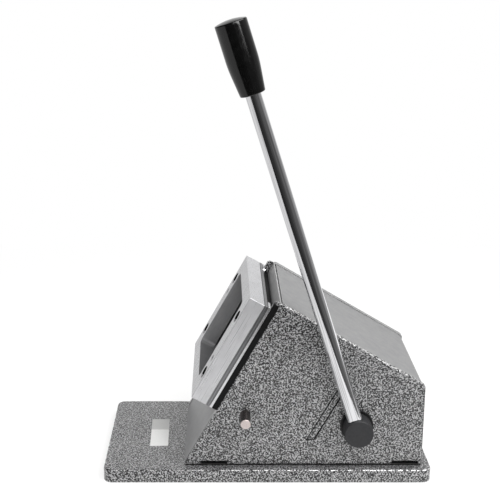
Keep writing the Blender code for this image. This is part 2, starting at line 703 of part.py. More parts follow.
def make_guide_posts(incline, paints):
    low = RAM_PLATE_BACK - POST_TAIL
    high = POST_SEAT_DEPTH - FRONT_PLATE_THICKNESS
    profile = rod_profile(POST_DIAMETER / 2, low, high, POST_CHAMFER)
    for number, (along, across) in enumerate(post_places(), 1):
        place = Matrix.Translation((along, across, 0))
        post = turned("guide_post_%d" % number, profile, incline, place, SMALL_ROUND_STEPS)
        paint(post, paints["die_steel"])


# Lever, shaft and cam
def cam_outline():
    """A steady rise along the lever's swing, offset inwards by the roller.

    The roller sits at the incline's outward direction. As the lever comes
    forward, points that lie clockwise of it arrive there, so the pitch radius
    grows clockwise by the punch stroke over the swing. Behind, a smooth return
    leads back to the smallest radius.
    """
    contact = INCLINE_ANGLE + math.pi / 2
    rise = PUNCH_STROKE / LEVER_SWING_ANGLE
    rise_span = LEVER_SWING_ANGLE + 2 * CAM_OVERTRAVEL
    return_span = math.tau - rise_span

    def pitch_point(turned_back):
        if turned_back <= rise_span:
            radius = CAM_PITCH_RADIUS + rise * (turned_back - CAM_OVERTRAVEL)
        else:
            share = (turned_back - rise_span) / return_span
            low = CAM_PITCH_RADIUS - rise * CAM_OVERTRAVEL
            radius = low + rise * rise_span * (1 + math.cos(math.pi * share)) / 2
        angle = contact + CAM_OVERTRAVEL - turned_back
        return Vector((radius * math.cos(angle), radius * math.sin(angle)))

    step = math.tau / CAM_STEPS
    shrink = ROLLER_DIAMETER / 2 + SEAT_GAP
    outline = []
    for i in range(CAM_STEPS):
        point = pitch_point(i * step)
        ahead, behind = pitch_point((i * step + step) % math.tau), pitch_point((i * step - step) % math.tau)
        tangent = (ahead - behind).normalized()
        outline.append(point + Vector((tangent.y, -tangent.x)) * shrink)
    return outline


def make_cam(lever, paints):
    cam = side_slab("cam", [cam_outline()], -CAM_WIDTH / 2, CAM_WIDTH / 2, lever)
    bore = circle((0, 0), SHAFT_DIAMETER / 2 + SEAT_GAP, ROUND_STEPS)
    cut(cam, side_slab("cam_bore", [bore], -CAM_WIDTH / 2 - CUT_OVERRUN, CAM_WIDTH / 2 + CUT_OVERRUN, lever))
    return paint(cam, paints["die_steel"])


def make_shaft(lever, paints):
    low = HUB_OUTER_Y + HUB_END_WALL + SEAT_GAP
    high = COLLAR_INNER_Y + COLLAR_WIDTH + SHAFT_CHAMFER
    profile = rod_profile(SHAFT_DIAMETER / 2, low, high, SHAFT_CHAMFER)
    return paint(turned("lever_shaft", profile, lever, ALONG_WIDTH), paints["plain_steel"])


def make_collar(lever, paints):
    inner, outer = SHAFT_DIAMETER / 2 + SEAT_GAP, COLLAR_DIAMETER / 2
    profile = tube_profile(inner, outer, COLLAR_INNER_Y, COLLAR_INNER_Y + COLLAR_WIDTH, COLLAR_CHAMFER)
    collar = turned("shaft_collar", profile, lever, ALONG_WIDTH, closed=True)
    return paint(collar, paints["dark_hub"])


def make_bush(name, side, paints):
    """Flanged bush in the side plate, its flange outside."""
    bore, sleeve = SHAFT_DIAMETER / 2 + SEAT_GAP, BUSH_DIAMETER / 2
    flange = BUSH_FLANGE_DIAMETER / 2
    seat = SIDE_Y + SEAT_GAP
    outer = seat + BUSH_FLANGE_THICKNESS
    profile = [(bore, SIDE_INNER_Y), (sleeve, SIDE_INNER_Y), (sleeve, seat), (flange, seat)]
    profile += [(flange, outer), (bore, outer)]
    profile = [(radius, side * height) for radius, height in profile]
    place = Matrix.Translation((AXLE.x, 0, AXLE.y)) @ ALONG_WIDTH
    return paint(turned(name, profile, None, place, closed=True), paints["dark_hub"])


def make_hub(lever, paints):
    """Boss on the shaft's end, bored from behind and cross drilled for the rod."""
    bore, outer = SHAFT_DIAMETER / 2 + SEAT_GAP, HUB_DIAMETER / 2
    floor = HUB_OUTER_Y + HUB_END_WALL
    low, high = HUB_OUTER_Y, HUB_INNER_Y
    profile = [(0, low), (outer - HUB_CHAMFER, low), (outer, low + HUB_CHAMFER), (outer, high)]
    profile += [(bore, high), (bore, floor), (0, floor)]
    hub = turned("lever_hub", profile, lever, ALONG_WIDTH)
    lean = Matrix.Rotation(math.pi / 2 - LEVER_REST_ANGLE, 4, "Y")
    place = Matrix.Translation((0, LEVER_Y, 0)) @ lean
    socket_radius = ROD_DIAMETER / 2 + SEAT_GAP
    socket = rod_profile(socket_radius, ROD_START - SEAT_GAP, outer + CUT_OVERRUN, 0)
    socket = [socket[0], socket[1], socket[3], socket[5]]
    cut(hub, turned("lever_hub_socket", socket, lever, place))
    return paint(hub, paints["dark_hub"])


def make_rod(lever, paints):
    lean = Matrix.Rotation(math.pi / 2 - LEVER_REST_ANGLE, 4, "Y")
    place = Matrix.Translation((0, LEVER_Y, 0)) @ lean
    end = KNOB_DISTANCE + KNOB_SOCKET_DEPTH - SEAT_GAP
    profile = rod_profile(ROD_DIAMETER / 2, ROD_START, end, ROD_CHAMFER)
    return paint(turned("lever_rod", profile, lever, place), paints["chrome"])


def knob_profile():
    """Taper that runs into a cylinder with a softly domed end, and a blind socket below."""
    lower, upper = KNOB_LOWER_DIAMETER / 2, KNOB_UPPER_DIAMETER / 2
    socket = ROD_DIAMETER / 2 + SEAT_GAP
    low, high = KNOB_DISTANCE, KNOB_DISTANCE + KNOB_LENGTH
    shoulder = high - KNOB_DOME_RISE
    points = [(0, low + KNOB_SOCKET_DEPTH), (socket, low + KNOB_SOCKET_DEPTH), (socket, low)]
    lower_round = (lower - KNOB_EDGE_RADIUS, low + KNOB_EDGE_RADIUS)
    points += [tuple(p) for p in arc(lower_round, KNOB_EDGE_RADIUS, -math.pi / 2, 0, CORNER_STEPS)]
    turn = math.atan((upper - lower) / KNOB_TAPER_LENGTH)
    bend = (upper - KNOB_BEND_RADIUS, low + KNOB_TAPER_LENGTH + KNOB_BEND_RADIUS * math.tan(turn / 2))
    points += [tuple(p) for p in arc(bend, KNOB_BEND_RADIUS, -turn, 0, CORNER_STEPS)]
    upper_round = (upper - KNOB_EDGE_RADIUS, shoulder - KNOB_EDGE_RADIUS)
    points += [tuple(p) for p in arc(upper_round, KNOB_EDGE_RADIUS, 0, math.pi / 2, CORNER_STEPS)]
    flat = upper - KNOB_EDGE_RADIUS
    for step in range(1, CORNER_STEPS + 1):
        share = 1 - step / CORNER_STEPS
        points.append((flat * share, shoulder + KNOB_DOME_RISE * (1 - share * share)))
    return points


def make_knob(lever, paints):
    lean = Matrix.Rotation(math.pi / 2 - LEVER_REST_ANGLE, 4, "Y")
    place = Matrix.Translation((0, LEVER_Y, 0)) @ lean
    return paint(turned("lever_knob", knob_profile(), lever, place), paints["black_plastic"])


def make_stop_pin(paints):
    place = stop_pin_place()
    high = -SIDE_INNER_Y
    low = -SIDE_Y - STOP_PIN_LENGTH
    profile = rod_profile(STOP_PIN_DIAMETER / 2, low, high, STOP_PIN_CHAMFER)
    matrix = Matrix.Translation((place.x, 0, place.y)) @ ALONG_WIDTH
    return paint(turned("stop_pin", profile, None, matrix, SMALL_ROUND_STEPS), paints["bare_steel"])


def make_paints():
    return {
        "hammertone": make_material("hammertone_enamel", (0.17, 0.17, 0.172), 0.45, 0.3),
        "panel_paint": make_material("grey_enamel", (0.25, 0.25, 0.25), 0.5, 0.1),
        "ground_steel": make_material("ground_steel", (0.60, 0.60, 0.61), 0.30, 1.0),
        "die_steel": make_material("die_steel", (0.42, 0.42, 0.43), 0.25, 1.0),
        "plain_steel": make_material("plain_steel", (0.40, 0.40, 0.40), 0.40, 1.0),
        "bare_steel": make_material("bare_steel", (0.52, 0.47, 0.46), 0.45, 1.0),
        "black_oxide": make_material("black_oxide", (0.012, 0.012, 0.013), 0.40, 0.6),
        "dark_hub": make_material("phosphated_steel", (0.05, 0.05, 0.052), 0.55, 0.5),
        "chrome": make_material("chrome_plate", (0.80, 0.80, 0.81), 0.08, 1.0),
        "black_plastic": make_material("black_phenolic", (0.008, 0.008, 0.009), 0.12, 0.0),
    }


def clear_scene():
    for obj in list(bpy.data.objects):
        bpy.data.objects.remove(obj, do_unlink=True)


def make_part():
    clear_scene()
    paints = make_paints()
    incline = make_empty("incline", (FRONT_FOOT_X, 0, BASE_THICKNESS), -INCLINE_ANGLE)
    ram = make_empty("ram_axis", (AXLE_MIDDLE, 0, 0), parent=incline)
    lever = make_empty("lever_axis", (AXLE.x, 0, AXLE.y))
    make_base_plate(paints)
    make_side_plate("side_plate_near", -1, paints)
    make_side_plate("side_plate_far", 1, paints)
    make_cross_plate(incline, paints)
    make_front_plate(incline, paints)
    make_cover(paints)
    make_die_block(incline, paints)
    make_die_plate(incline, paints)
    make_stripper_plate(incline, paints)
    make_slot_cheek("slot_cheek_near", -1, paints)
    make_slot_cheek("slot_cheek_far", 1, paints)
    make_feed_guide(incline, paints)
    make_cap_screws(incline, paints)
    make_dowels(incline, paints)
    make_guide_posts(incline, paints)
    make_punch(ram, paints)
    make_ram_plate(ram, paints)
    make_ram_stem(ram, paints)
    make_roller(ram, paints)
    make_cam(lever, paints)
    make_shaft(lever, paints)
    make_collar(lever, paints)
    make_bush("shaft_bush_near", -1, paints)
    make_bush("shaft_bush_far", 1, paints)
    make_hub(lever, paints)
    make_rod(lever, paints)
    make_knob(lever, paints)
    make_stop_pin(paints)


make_part()
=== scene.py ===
# Looks of a desk die cutter for cards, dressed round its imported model.
# Metres, +Z up, +X towards the machine's rear, the lever on the -Y side.
import json
import math

import bmesh
import bpy
import numpy as np
from mathutils import Matrix, Vector


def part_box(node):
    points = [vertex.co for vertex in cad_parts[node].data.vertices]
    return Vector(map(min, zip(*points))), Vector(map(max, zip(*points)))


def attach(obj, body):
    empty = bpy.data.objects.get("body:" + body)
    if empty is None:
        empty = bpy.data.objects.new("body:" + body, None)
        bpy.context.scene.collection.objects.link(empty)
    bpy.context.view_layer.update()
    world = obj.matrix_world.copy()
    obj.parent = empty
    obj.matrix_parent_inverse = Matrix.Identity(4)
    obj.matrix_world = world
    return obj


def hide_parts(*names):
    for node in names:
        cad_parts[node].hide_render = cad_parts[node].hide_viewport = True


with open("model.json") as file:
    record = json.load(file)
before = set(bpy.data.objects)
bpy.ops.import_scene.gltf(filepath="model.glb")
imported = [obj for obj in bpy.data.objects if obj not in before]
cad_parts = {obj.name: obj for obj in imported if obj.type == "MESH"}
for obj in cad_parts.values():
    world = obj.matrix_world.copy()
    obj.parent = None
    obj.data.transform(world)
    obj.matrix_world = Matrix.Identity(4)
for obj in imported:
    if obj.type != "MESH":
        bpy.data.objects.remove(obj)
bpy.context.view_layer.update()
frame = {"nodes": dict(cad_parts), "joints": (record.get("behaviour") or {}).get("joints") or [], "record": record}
print("frame loaded:", len(frame["nodes"]), "nodes")

mm = 0.001
fullTurn = 2 * math.pi
inclineAngle = math.radians(61.0)       # the die head's front, up from the desk
coverSlope = math.radians(30.66)        # the cover falls towards the rear by this
leverAngle = math.radians(107.8)        # the lever at rest, from +X towards +Z

joints = {joint["name"]: joint for joint in frame["joints"]}
axle = Vector(joints["lever_swing"]["pos_m"])
rodLow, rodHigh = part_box("lever_rod")
axle.y = (rodLow.y + rodHigh.y) / 2     # in the bar's middle plane, beside the body
leverTurn = Matrix.Translation(axle) @ Matrix.Rotation(math.pi / 2 - leverAngle, 4, "Y")
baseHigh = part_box("base_plate")[1]
coverLow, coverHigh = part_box("cover")
slots = {part["node"]: part["material_slot"] for part in frame["record"]["subparts"]}


# Nodes and colours
def linear(hexColour):
    # sRGB to linear: c / 12.92 below 0.04045, and ((c + 0.055) / 1.055) to the power 2.4 above it
    shares = [int(hexColour[i:i + 2], 16) / 255 for i in (1, 3, 5)]
    return tuple(c / 12.92 if c <= 0.04045 else ((c + 0.055) / 1.055) ** 2.4 for c in shares) + (1.0,)


def addNode(tree, kind, settings=None, links=None, stops=None):
    # links holds a socket to join or a value to set for each input; a ramp starts with two stops of its own
    node = kind if isinstance(kind, bpy.types.Node) else tree.nodes.new("ShaderNode" + kind)
    for name, value in (settings or {}).items():
        setattr(node, name, value)
    for name, value in (links or {}).items():
        if isinstance(value, bpy.types.NodeSocket):
            tree.links.new(value, node.inputs[name])
        else:
            node.inputs[name].default_value = value
    for i, (place, colour) in enumerate(stops or ()):
        ramp = node.color_ramp.elements
        stop = ramp[i] if i < 2 else ramp.new(place)
        stop.position = place
        stop.color = linear(colour)
    return node


colourFactor, colourA, colourB, colourResult = 0, 6, 7, 2   # sockets of a Mix node that mixes colours
mixColours = {"data_type": "RGBA"}
multiplyColours = {"data_type": "RGBA", "blend_type": "MULTIPLY"}
noiseLow, noiseHigh = 0.3, 0.7          # nearly all of a noise texture's values lie between these
hillsPerUnit = 0.55                     # hills of a noise texture in one unit at scale 1
oneRing = fullTurn / 20                 # scale at which a wave texture has one ring in one unit


def hillScale(pitch):
    # scale of a noise texture whose hills stand this far apart
    return 1 / (pitch * hillsPerUnit)


def fromTo(low, high):
    # ramp stops for a noise texture, from its hollows' colour to its hills'
    return [(noiseLow, low), (noiseHigh, high)]


def newMaterial(name):
    material = bpy.data.materials.new(name)
    material.use_nodes = True
    tree = material.node_tree
    coords = addNode(tree, "TexCoord").outputs["Object"]
    return material, tree, tree.nodes["Principled BSDF"], coords


# Makers of finishes; a look's "rough" is the roughness at the low and at the high end of its pattern
def hammertoneEnamel(name, look):
    # hammertone enamel sprayed on steel: aluminium flake gathers in light cells, dark veins run between
    # them, and the clear resin on top is glossy and gently dimpled
    material, tree, shader, coords = newMaterial(name)
    cells = addNode(tree, "TexNoise", None, {
        "Vector": coords, "Scale": hillScale(look["cellPitch"]), "Detail": look["cellDetail"],
        "Roughness": 0.5, "Distortion": look["cellCurl"]})
    broad = addNode(tree, "TexNoise", None, {
        "Vector": coords, "Scale": hillScale(look["cloudPitch"]), "Detail": 2.0})
    tone = addNode(tree, "ValToRGB", None, {"Fac": cells.outputs["Fac"]}, look["tones"])
    cloud = addNode(tree, "ValToRGB", None, {"Fac": broad.outputs["Fac"]}, look["clouds"])
    mixed = addNode(tree, "Mix", multiplyColours, {
        colourFactor: 1.0, colourA: tone.outputs["Color"], colourB: cloud.outputs["Color"]})
    gloss = addNode(tree, "MapRange", None, {
        "Value": cells.outputs["Fac"], "From Min": look["veinsTo"], "From Max": look["cellsFrom"],
        "To Min": look["rough"][0], "To Max": look["rough"][1]})
    dimple = addNode(tree, "Bump", None, {
        "Strength": look["bumpShare"], "Distance": look["bumpDepth"], "Height": cells.outputs["Fac"]})
    addNode(tree, shader, None, {
        "Base Color": mixed.outputs[colourResult], "Roughness": gloss.outputs["Result"],
        "Metallic": look["metallic"], "Normal": dimple.outputs["Normal"],
        "Coat Weight": look["coat"], "Coat Roughness": 0.2})
    return material


def smoothEnamel(name, look):
    # grey machine enamel, sprayed and baked: even, semi-matt, with a faint orange peel; above the height
    # paintedLightFrom, where it has one, it is painted paler: painted light
    material, tree, shader, coords = newMaterial(name)
    peel = addNode(tree, "TexNoise", None, {
        "Vector": coords, "Scale": hillScale(look["peelPitch"]), "Detail": 2.0})
    cloud = addNode(tree, "TexNoise", None, {
        "Vector": coords, "Scale": hillScale(look["cloudPitch"]), "Detail": 3.0})
    tone = addNode(tree, "ValToRGB", None, {"Fac": cloud.outputs["Fac"]}, look["tones"]).outputs["Color"]
    if "paintedLightTones" in look:
        place = addNode(tree, "SeparateXYZ", None, {"Vector": coords})
        paintedLightShare = addNode(tree, "MapRange", None, {
            "Value": place.outputs["Z"], "From Min": look["paintedLightFrom"],
            "From Max": look["paintedLightFrom"] + look["paintedLightOver"]})
        paler = addNode(tree, "ValToRGB", None, {"Fac": cloud.outputs["Fac"]}, look["paintedLightTones"])
        both = addNode(tree, "Mix", mixColours, {
            colourFactor: paintedLightShare.outputs["Result"], colourA: tone, colourB: paler.outputs["Color"]})
        tone = both.outputs[colourResult]
    speck = addNode(tree, "ValToRGB", None, {"Fac": peel.outputs["Fac"]}, look["specks"])
    mixed = addNode(tree, "Mix", multiplyColours, {
        colourFactor: 1.0, colourA: tone, colourB: speck.outputs["Color"]})
    dimple = addNode(tree, "Bump", None, {
        "Strength": look["peelShare"], "Distance": look["peelDepth"], "Height": peel.outputs["Fac"]})
    addNode(tree, shader, None, {
        "Base Color": mixed.outputs[colourResult], "Roughness": look["roughness"],
        "Metallic": look["metallic"], "Normal": dimple.outputs["Normal"]})
    return material


def groundMetal(name, look):
    # ground or milled steel: the tool leaves fine parallel lines up the head, which draw out its shine;
    # the real ones are under 0.1 mm wide, so they are drawn coarser to show
    material, tree, shader, coords = newMaterial(name)
    local = addNode(tree, "Mapping", {"vector_type": "TEXTURE"}, {
        "Vector": coords, "Location": axle, "Rotation": (0, -inclineAngle, 0), "Scale": look["lineSize"]})
    lines = addNode(tree, "TexNoise", None, {
        "Vector": local.outputs["Vector"], "Scale": 1.0, "Detail": 3.0})
    cloud = addNode(tree, "TexNoise", None, {
        "Vector": coords, "Scale": hillScale(look["cloudPitch"]), "Detail": 3.0})
    tone = addNode(tree, "ValToRGB", None, {"Fac": lines.outputs["Fac"]}, look["tones"])
    shade = addNode(tree, "ValToRGB", None, {"Fac": cloud.outputs["Fac"]}, fromTo("#f4f4f4", "#ffffff"))
    mixed = addNode(tree, "Mix", multiplyColours, {
        colourFactor: 1.0, colourA: tone.outputs["Color"], colourB: shade.outputs["Color"]})
    rough = addNode(tree, "MapRange", None, {
        "Value": lines.outputs["Fac"], "From Min": noiseLow, "From Max": noiseHigh,
        "To Min": look["rough"][0], "To Max": look["rough"][1]})
    groove = addNode(tree, "Bump", None, {
        "Strength": 0.35, "Distance": look["lineDepth"], "Height": lines.outputs["Fac"]})
    addNode(tree, shader, None, {
        "Base Color": mixed.outputs[colourResult], "Roughness": rough.outputs["Result"],
        "Metallic": look["metallic"], "Normal": groove.outputs["Normal"],
        "Specular IOR Level": look.get("specular", 0.5)})
    return material


def turnedMetal(name, look):
    # turned steel: the lathe tool leaves fine rings round the axis, which runs along Y, and the light fans
    # out across them; the real ones are about 0.1 mm apart, so they are drawn coarser to show
    material, tree, shader, coords = newMaterial(name)
    local = addNode(tree, "Mapping", {"vector_type": "TEXTURE"}, {
        "Vector": coords, "Location": look["centre"], "Scale": (look["ringPitch"],) * 3})
    rings = addNode(tree, "TexWave", {"wave_type": "RINGS", "rings_direction": "Y"}, {
        "Vector": local.outputs["Vector"], "Scale": oneRing, "Distortion": 0.6, "Detail": 2.0,
        "Detail Scale": 0.4})
    blotch = addNode(tree, "TexNoise", None, {
        "Vector": coords, "Scale": hillScale(look["cloudPitch"]), "Detail": 4.0})
    tone = addNode(tree, "ValToRGB", None, {"Fac": blotch.outputs["Fac"]}, look["tones"])
    rough = addNode(tree, "MapRange", None, {
        "Value": blotch.outputs["Fac"], "From Min": noiseLow, "From Max": noiseHigh,
        "To Min": look["rough"][0], "To Max": look["rough"][1]})
    groove = addNode(tree, "Bump", None, {
        "Strength": look["ringShare"], "Distance": look["ringDepth"], "Height": rings.outputs["Fac"]})
    addNode(tree, shader, None, {
        "Base Color": tone.outputs["Color"], "Roughness": rough.outputs["Result"],
        "Metallic": look["metallic"], "Normal": groove.outputs["Normal"]})
    return material


def chromePlate(name, look):
    # bright chrome plate over a drawn and polished bar: near mirror, faint polishing lines along the bar
    material, tree, shader, coords = newMaterial(name)
    local = addNode(tree, "Mapping", {"vector_type": "TEXTURE"}, {
        "Vector": coords, "Location": axle, "Rotation": (0, math.pi / 2 - leverAngle, 0),
        "Scale": look["lineSize"]})
    lines = addNode(tree, "TexNoise", None, {
        "Vector": local.outputs["Vector"], "Scale": 1.0, "Detail": 2.0})
    tone = addNode(tree, "ValToRGB", None, {"Fac": lines.outputs["Fac"]}, look["tones"])
    rough = addNode(tree, "MapRange", None, {
        "Value": lines.outputs["Fac"], "From Min": noiseLow, "From Max": noiseHigh,
        "To Min": look["rough"][0], "To Max": look["rough"][1]})
    addNode(tree, shader, None, {
        "Base Color": tone.outputs["Color"], "Roughness": rough.outputs["Result"], "Metallic": 1.0})
    return material


def mouldedBlack(name, look):
    # a black compression moulding, barely clouded by handling: phenolic comes out of its polished mould
    # with a deep gloss; the matt black of the strips laid in seams is painted shade
    material, tree, shader, coords = newMaterial(name)
    smear = addNode(tree, "TexNoise", None, {
        "Vector": coords, "Scale": hillScale(look["smearPitch"]), "Detail": 4.0})
    tone = addNode(tree, "ValToRGB", None, {"Fac": smear.outputs["Fac"]}, look["tones"])
    rough = addNode(tree, "MapRange", None, {
        "Value": smear.outputs["Fac"], "From Min": noiseLow, "From Max": noiseHigh,
        "To Min": look["rough"][0], "To Max": look["rough"][1]})
    ripple = addNode(tree, "Bump", None, {
        "Strength": 0.15, "Distance": look["rippleDepth"], "Height": smear.outputs["Fac"]})
    addNode(tree, shader, None, {
        "Base Color": tone.outputs["Color"], "Roughness": rough.outputs["Result"], "IOR": 1.5,
        "Normal": ripple.outputs["Normal"]})
    return material


def coatedPaper(name, look):
    # white coated label paper, printed with one plain grey field: smooth, with a faint cloud of fibres
    material, tree, shader, coords = newMaterial(name)
    place = addNode(tree, "SeparateXYZ", None, {"Vector": coords})
    field = addNode(tree, "MapRange", None, {
        "Value": place.outputs["Y"], "From Min": look["split"] - look["inkEdge"],
        "From Max": look["split"] + look["inkEdge"]})
    fibres = addNode(tree, "TexNoise", None, {
        "Vector": coords, "Scale": hillScale(look["fibrePitch"]), "Detail": 3.0})
    tone = addNode(tree, "ValToRGB", None, {"Fac": field.outputs["Result"]},
                   [(0.0, look["nearTone"]), (1.0, look["farTone"])])
    cloud = addNode(tree, "ValToRGB", None, {"Fac": fibres.outputs["Fac"]}, fromTo("#f3f3f2", "#ffffff"))
    mixed = addNode(tree, "Mix", multiplyColours, {
        colourFactor: 1.0, colourA: tone.outputs["Color"], colourB: cloud.outputs["Color"]})
    dimple = addNode(tree, "Bump", None, {
        "Strength": 0.2, "Distance": look["fibreDepth"], "Height": fibres.outputs["Fac"]})
    addNode(tree, shader, None, {
        "Base Color": mixed.outputs[colourResult], "Roughness": look["roughness"],
        "Normal": dimple.outputs["Normal"]})
    return material


# Finishes: enamels
hammertoneLook = {"cellDetail": 1.0, "cellCurl": 0.5, "veinsTo": 0.35, "cellsFrom": 0.65,
                  "cloudPitch": 45 * mm, "clouds": fromTo("#ececec", "#ffffff")}
hammertone = hammertoneEnamel("hammertone_enamel", {
    **hammertoneLook, "cellPitch": 2.2 * mm,
    "tones": [(0.43, "#0a0a0b"), (0.58, "#aaaaab"), (0.50, "#454546")],
    "rough": (0.45, 0.28), "bumpShare": 1.0, "bumpDepth": 0.5 * mm, "metallic": 0.3, "coat": 1.0})
# painted highlight: on an eased edge whole cells catch the light at once, as a row of bright dashes, so this copy
# has white among its cell tones
enamelPaintedHighlight = hammertoneEnamel("hammertone_enamel_painted_highlight", {
    **hammertoneLook, "cellPitch": 3.4 * mm,
    "tones": [(0.44, "#161617"), (0.56, "#ffffff"), (0.50, "#8c8c8d")],
    "rough": (0.6, 0.2), "bumpShare": 0.7, "bumpDepth": 0.4 * mm, "metallic": 0.7, "coat": 0.3})
panelLook = {"peelPitch": 1.6 * mm, "peelDepth": 0.02 * mm, "peelShare": 0.3, "cloudPitch": 14 * mm,
             "specks": [(0.35, "#f2f2f2"), (0.65, "#ffffff")], "roughness": 0.42, "metallic": 0.15}
panelPaint = smoothEnamel("grey_machine_enamel", {**panelLook, "tones": fromTo("#7f7f80", "#898989")})
# a paler copy of the panel enamel for the front plate, paler still towards its top: painted light
panelPaintPaintedLight = smoothEnamel("grey_machine_enamel_painted_light", {
    **panelLook, "tones": fromTo("#868687", "#909091"), "paintedLightTones": fromTo("#9a9a9a", "#a4a4a4"),
    "paintedLightFrom": 148 * mm, "paintedLightOver": 4 * mm})

# Finishes: ground and milled steel
groundSteel = groundMetal("surface_ground_steel", {         # the block: pale and satin
    "lineSize": (45 * mm, 0.5 * mm, 0.5 * mm), "lineDepth": 0.004 * mm, "cloudPitch": 20 * mm,
    "tones": fromTo("#bcbcbe", "#c6c6c8"), "rough": (0.25, 0.37), "metallic": 0.55})
dieSteel = groundMetal("hardened_ground_steel", {           # hardened, so darker and greyer
    "lineSize": (30 * mm, 0.4 * mm, 0.4 * mm), "lineDepth": 0.003 * mm, "cloudPitch": 12 * mm,
    "tones": fromTo("#8a8a8c", "#9a9a9c"), "rough": (0.25, 0.37), "metallic": 1.0})
innerSteel = groundMetal("milled_oiled_steel", {            # oil warms it a little
    "lineSize": (12 * mm, 0.8 * mm, 0.8 * mm), "lineDepth": 0.006 * mm, "cloudPitch": 9 * mm,
    "tones": fromTo("#8c8a86", "#a5a39f"), "rough": (0.31, 0.43), "metallic": 1.0})
forkSteelPaintedHighlight = groundMetal("fine_ground_steel_painted_highlight", {            # the fork: near white, so its edge shows as a bright strip: painted highlight
    "lineSize": (30 * mm, 0.4 * mm, 0.4 * mm), "lineDepth": 0.002 * mm, "cloudPitch": 12 * mm,
    "tones": fromTo("#ececee", "#f8f8fa"), "rough": (0.19, 0.31), "metallic": 1.0})
wallLook = {"lineSize": (9 * mm, 0.8 * mm, 0.8 * mm), "lineDepth": 0.001 * mm, "cloudPitch": 14 * mm,
            "rough": (0.45, 0.57), "metallic": 0.3}
milledSteel = groundMetal("milled_die_wall", {              # the window's walls: dull from the cutter
    **wallLook, "tones": fromTo("#8e8e90", "#989899")})
milledSteelPaintedShade = groundMetal("milled_die_wall_painted_shade", {     # its lower wall, darker: painted shade
    **wallLook, "tones": fromTo("#757577", "#7d7d7e")})
blackOxideAndShade = groundMetal("black_oxide_steel_and_painted_shade", {             # blacked in hot salts: near black, low sheen; laid on openings, bores and edges as painted shade
    "lineSize": (6 * mm, 1.2 * mm, 1.2 * mm), "lineDepth": 0.003 * mm, "cloudPitch": 7 * mm,
    "tones": fromTo("#040404", "#0a0a0b"), "rough": (0.45, 0.57), "metallic": 0.0, "specular": 0.2})

# Finishes: turned steel
hubLook = {"centre": (axle.x, 0, axle.z), "ringPitch": 0.7 * mm, "ringDepth": 0.01 * mm,
           "cloudPitch": 3 * mm, "metallic": 0.3}
phosphate = turnedMetal("phosphated_turned_steel", {        # a crystalline coat: dark grey and matt
    **hubLook, "ringShare": 0.35, "tones": fromTo("#262628", "#303032"), "rough": (0.49, 0.61)})
blackedSteelAndShade = turnedMetal("blacked_turned_steel_and_painted_shade", {         # blacked and oiled, with some sheen; darkened further for the shade beside the hub: partly painted shade
    **hubLook, "ringShare": 0.3, "tones": fromTo("#080809", "#101011"), "rough": (0.34, 0.46)})
pinLow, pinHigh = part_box("stop_pin")
pinLook = {"centre": ((pinLow.x + pinHigh.x) / 2, 0, (pinLow.z + pinHigh.z) / 2), "ringPitch": 0.6 * mm,
           "ringShare": 0.3, "ringDepth": 0.01 * mm, "cloudPitch": 2 * mm}
pinSteel = turnedMetal("bare_turned_steel", {               # the bare end, faced: pale and warm
    **pinLook, "tones": fromTo("#c6b9b6", "#d6cbc9"), "rough": (0.39, 0.51), "metallic": 0.7})
pinShankPaintedDark = turnedMetal("bare_turned_steel_side_painted_dark", {           # its shank, darkened for the dark room it mirrors: painted dark reflection
    **pinLook, "tones": fromTo("#5a5452", "#645e5c"), "rough": (0.24, 0.36), "metallic": 1.0})

# Finishes: plating, mouldings and paper
chrome = chromePlate("bright_chrome_plate", {
    "lineSize": (0.6 * mm, 0.6 * mm, 60 * mm), "tones": [(0.42, "#d2d2d4"), (0.56, "#f2f2f4")],
    "rough": (0.03, 0.075)})
phenolic = mouldedBlack("black_phenolic", {
    "smearPitch": 9 * mm, "rippleDepth": 0.006 * mm, "tones": fromTo("#050505", "#090909"),
    "rough": (0.08, 0.18)})
# matt black for the strips laid in seams: painted shade
matteBlackShade = mouldedBlack("matte_black_painted_shade", {
    "smearPitch": 4 * mm, "rippleDepth": 0.03 * mm, "tones": fromTo("#090909", "#111111"),
    "rough": (0.56, 0.66)})
labelPaper = coatedPaper("coated_label_paper", {
    "split": 7.0 * mm, "inkEdge": 0.1 * mm, "nearTone": "#d9d9d8", "farTone": "#b6b6b5",
    "fibrePitch": 1.2 * mm, "fibreDepth": 0.01 * mm, "roughness": 0.5})
print("materials made:", len(bpy.data.materials))


# Surfaces
def meshPiece(name, points, faces, material, body, sharpAngle=35.0):
    # a new piece that rides on a body, shaded smooth except at edges sharper than sharpAngle degrees
    mesh = bpy.data.meshes.new(name)
    mesh.from_pydata(points.tolist(), [], faces)
    mesh.validate()
    mesh.shade_smooth()
    mesh.set_sharp_from_angle(angle=math.radians(sharpAngle))
    mesh.materials.append(material)
    piece = bpy.data.objects.new(name, mesh)
    bpy.context.scene.collection.objects.link(piece)
    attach(piece, body)
    return piece


def turnedSurface(profile, steps, outline=None):
    # x = s r cos t, y = s r sin t, z = h for each profile point (r, h) and each angle t,
    # with s = outline(t, r, h) or 1; the first and the last profile point are the poles
    radius, height = np.array(profile, float).T[:, :, None]
    angle = np.linspace(0, fullTurn, steps, endpoint=False)[None, :]
    reach = radius * (outline(angle, radius, height) if outline else 1.0)
    grid = np.stack([reach * np.cos(angle), reach * np.sin(angle), height + 0 * angle], axis=-1)[1:-1]
    rows = len(grid)
    points = np.vstack([grid.reshape(-1, 3), [[0, 0, height[0, 0]], [0, 0, height[-1, 0]]]])
    here, after = np.arange(steps), (np.arange(steps) + 1) % steps
    low = np.stack([after, here, np.full(steps, rows * steps)], axis=-1)
    lastRow = (rows - 1) * steps
    high = np.stack([lastRow + here, lastRow + after, np.full(steps, rows * steps + 1)], axis=-1)
    return points, wallFaces(rows, steps) + low.tolist() + high.tolist()


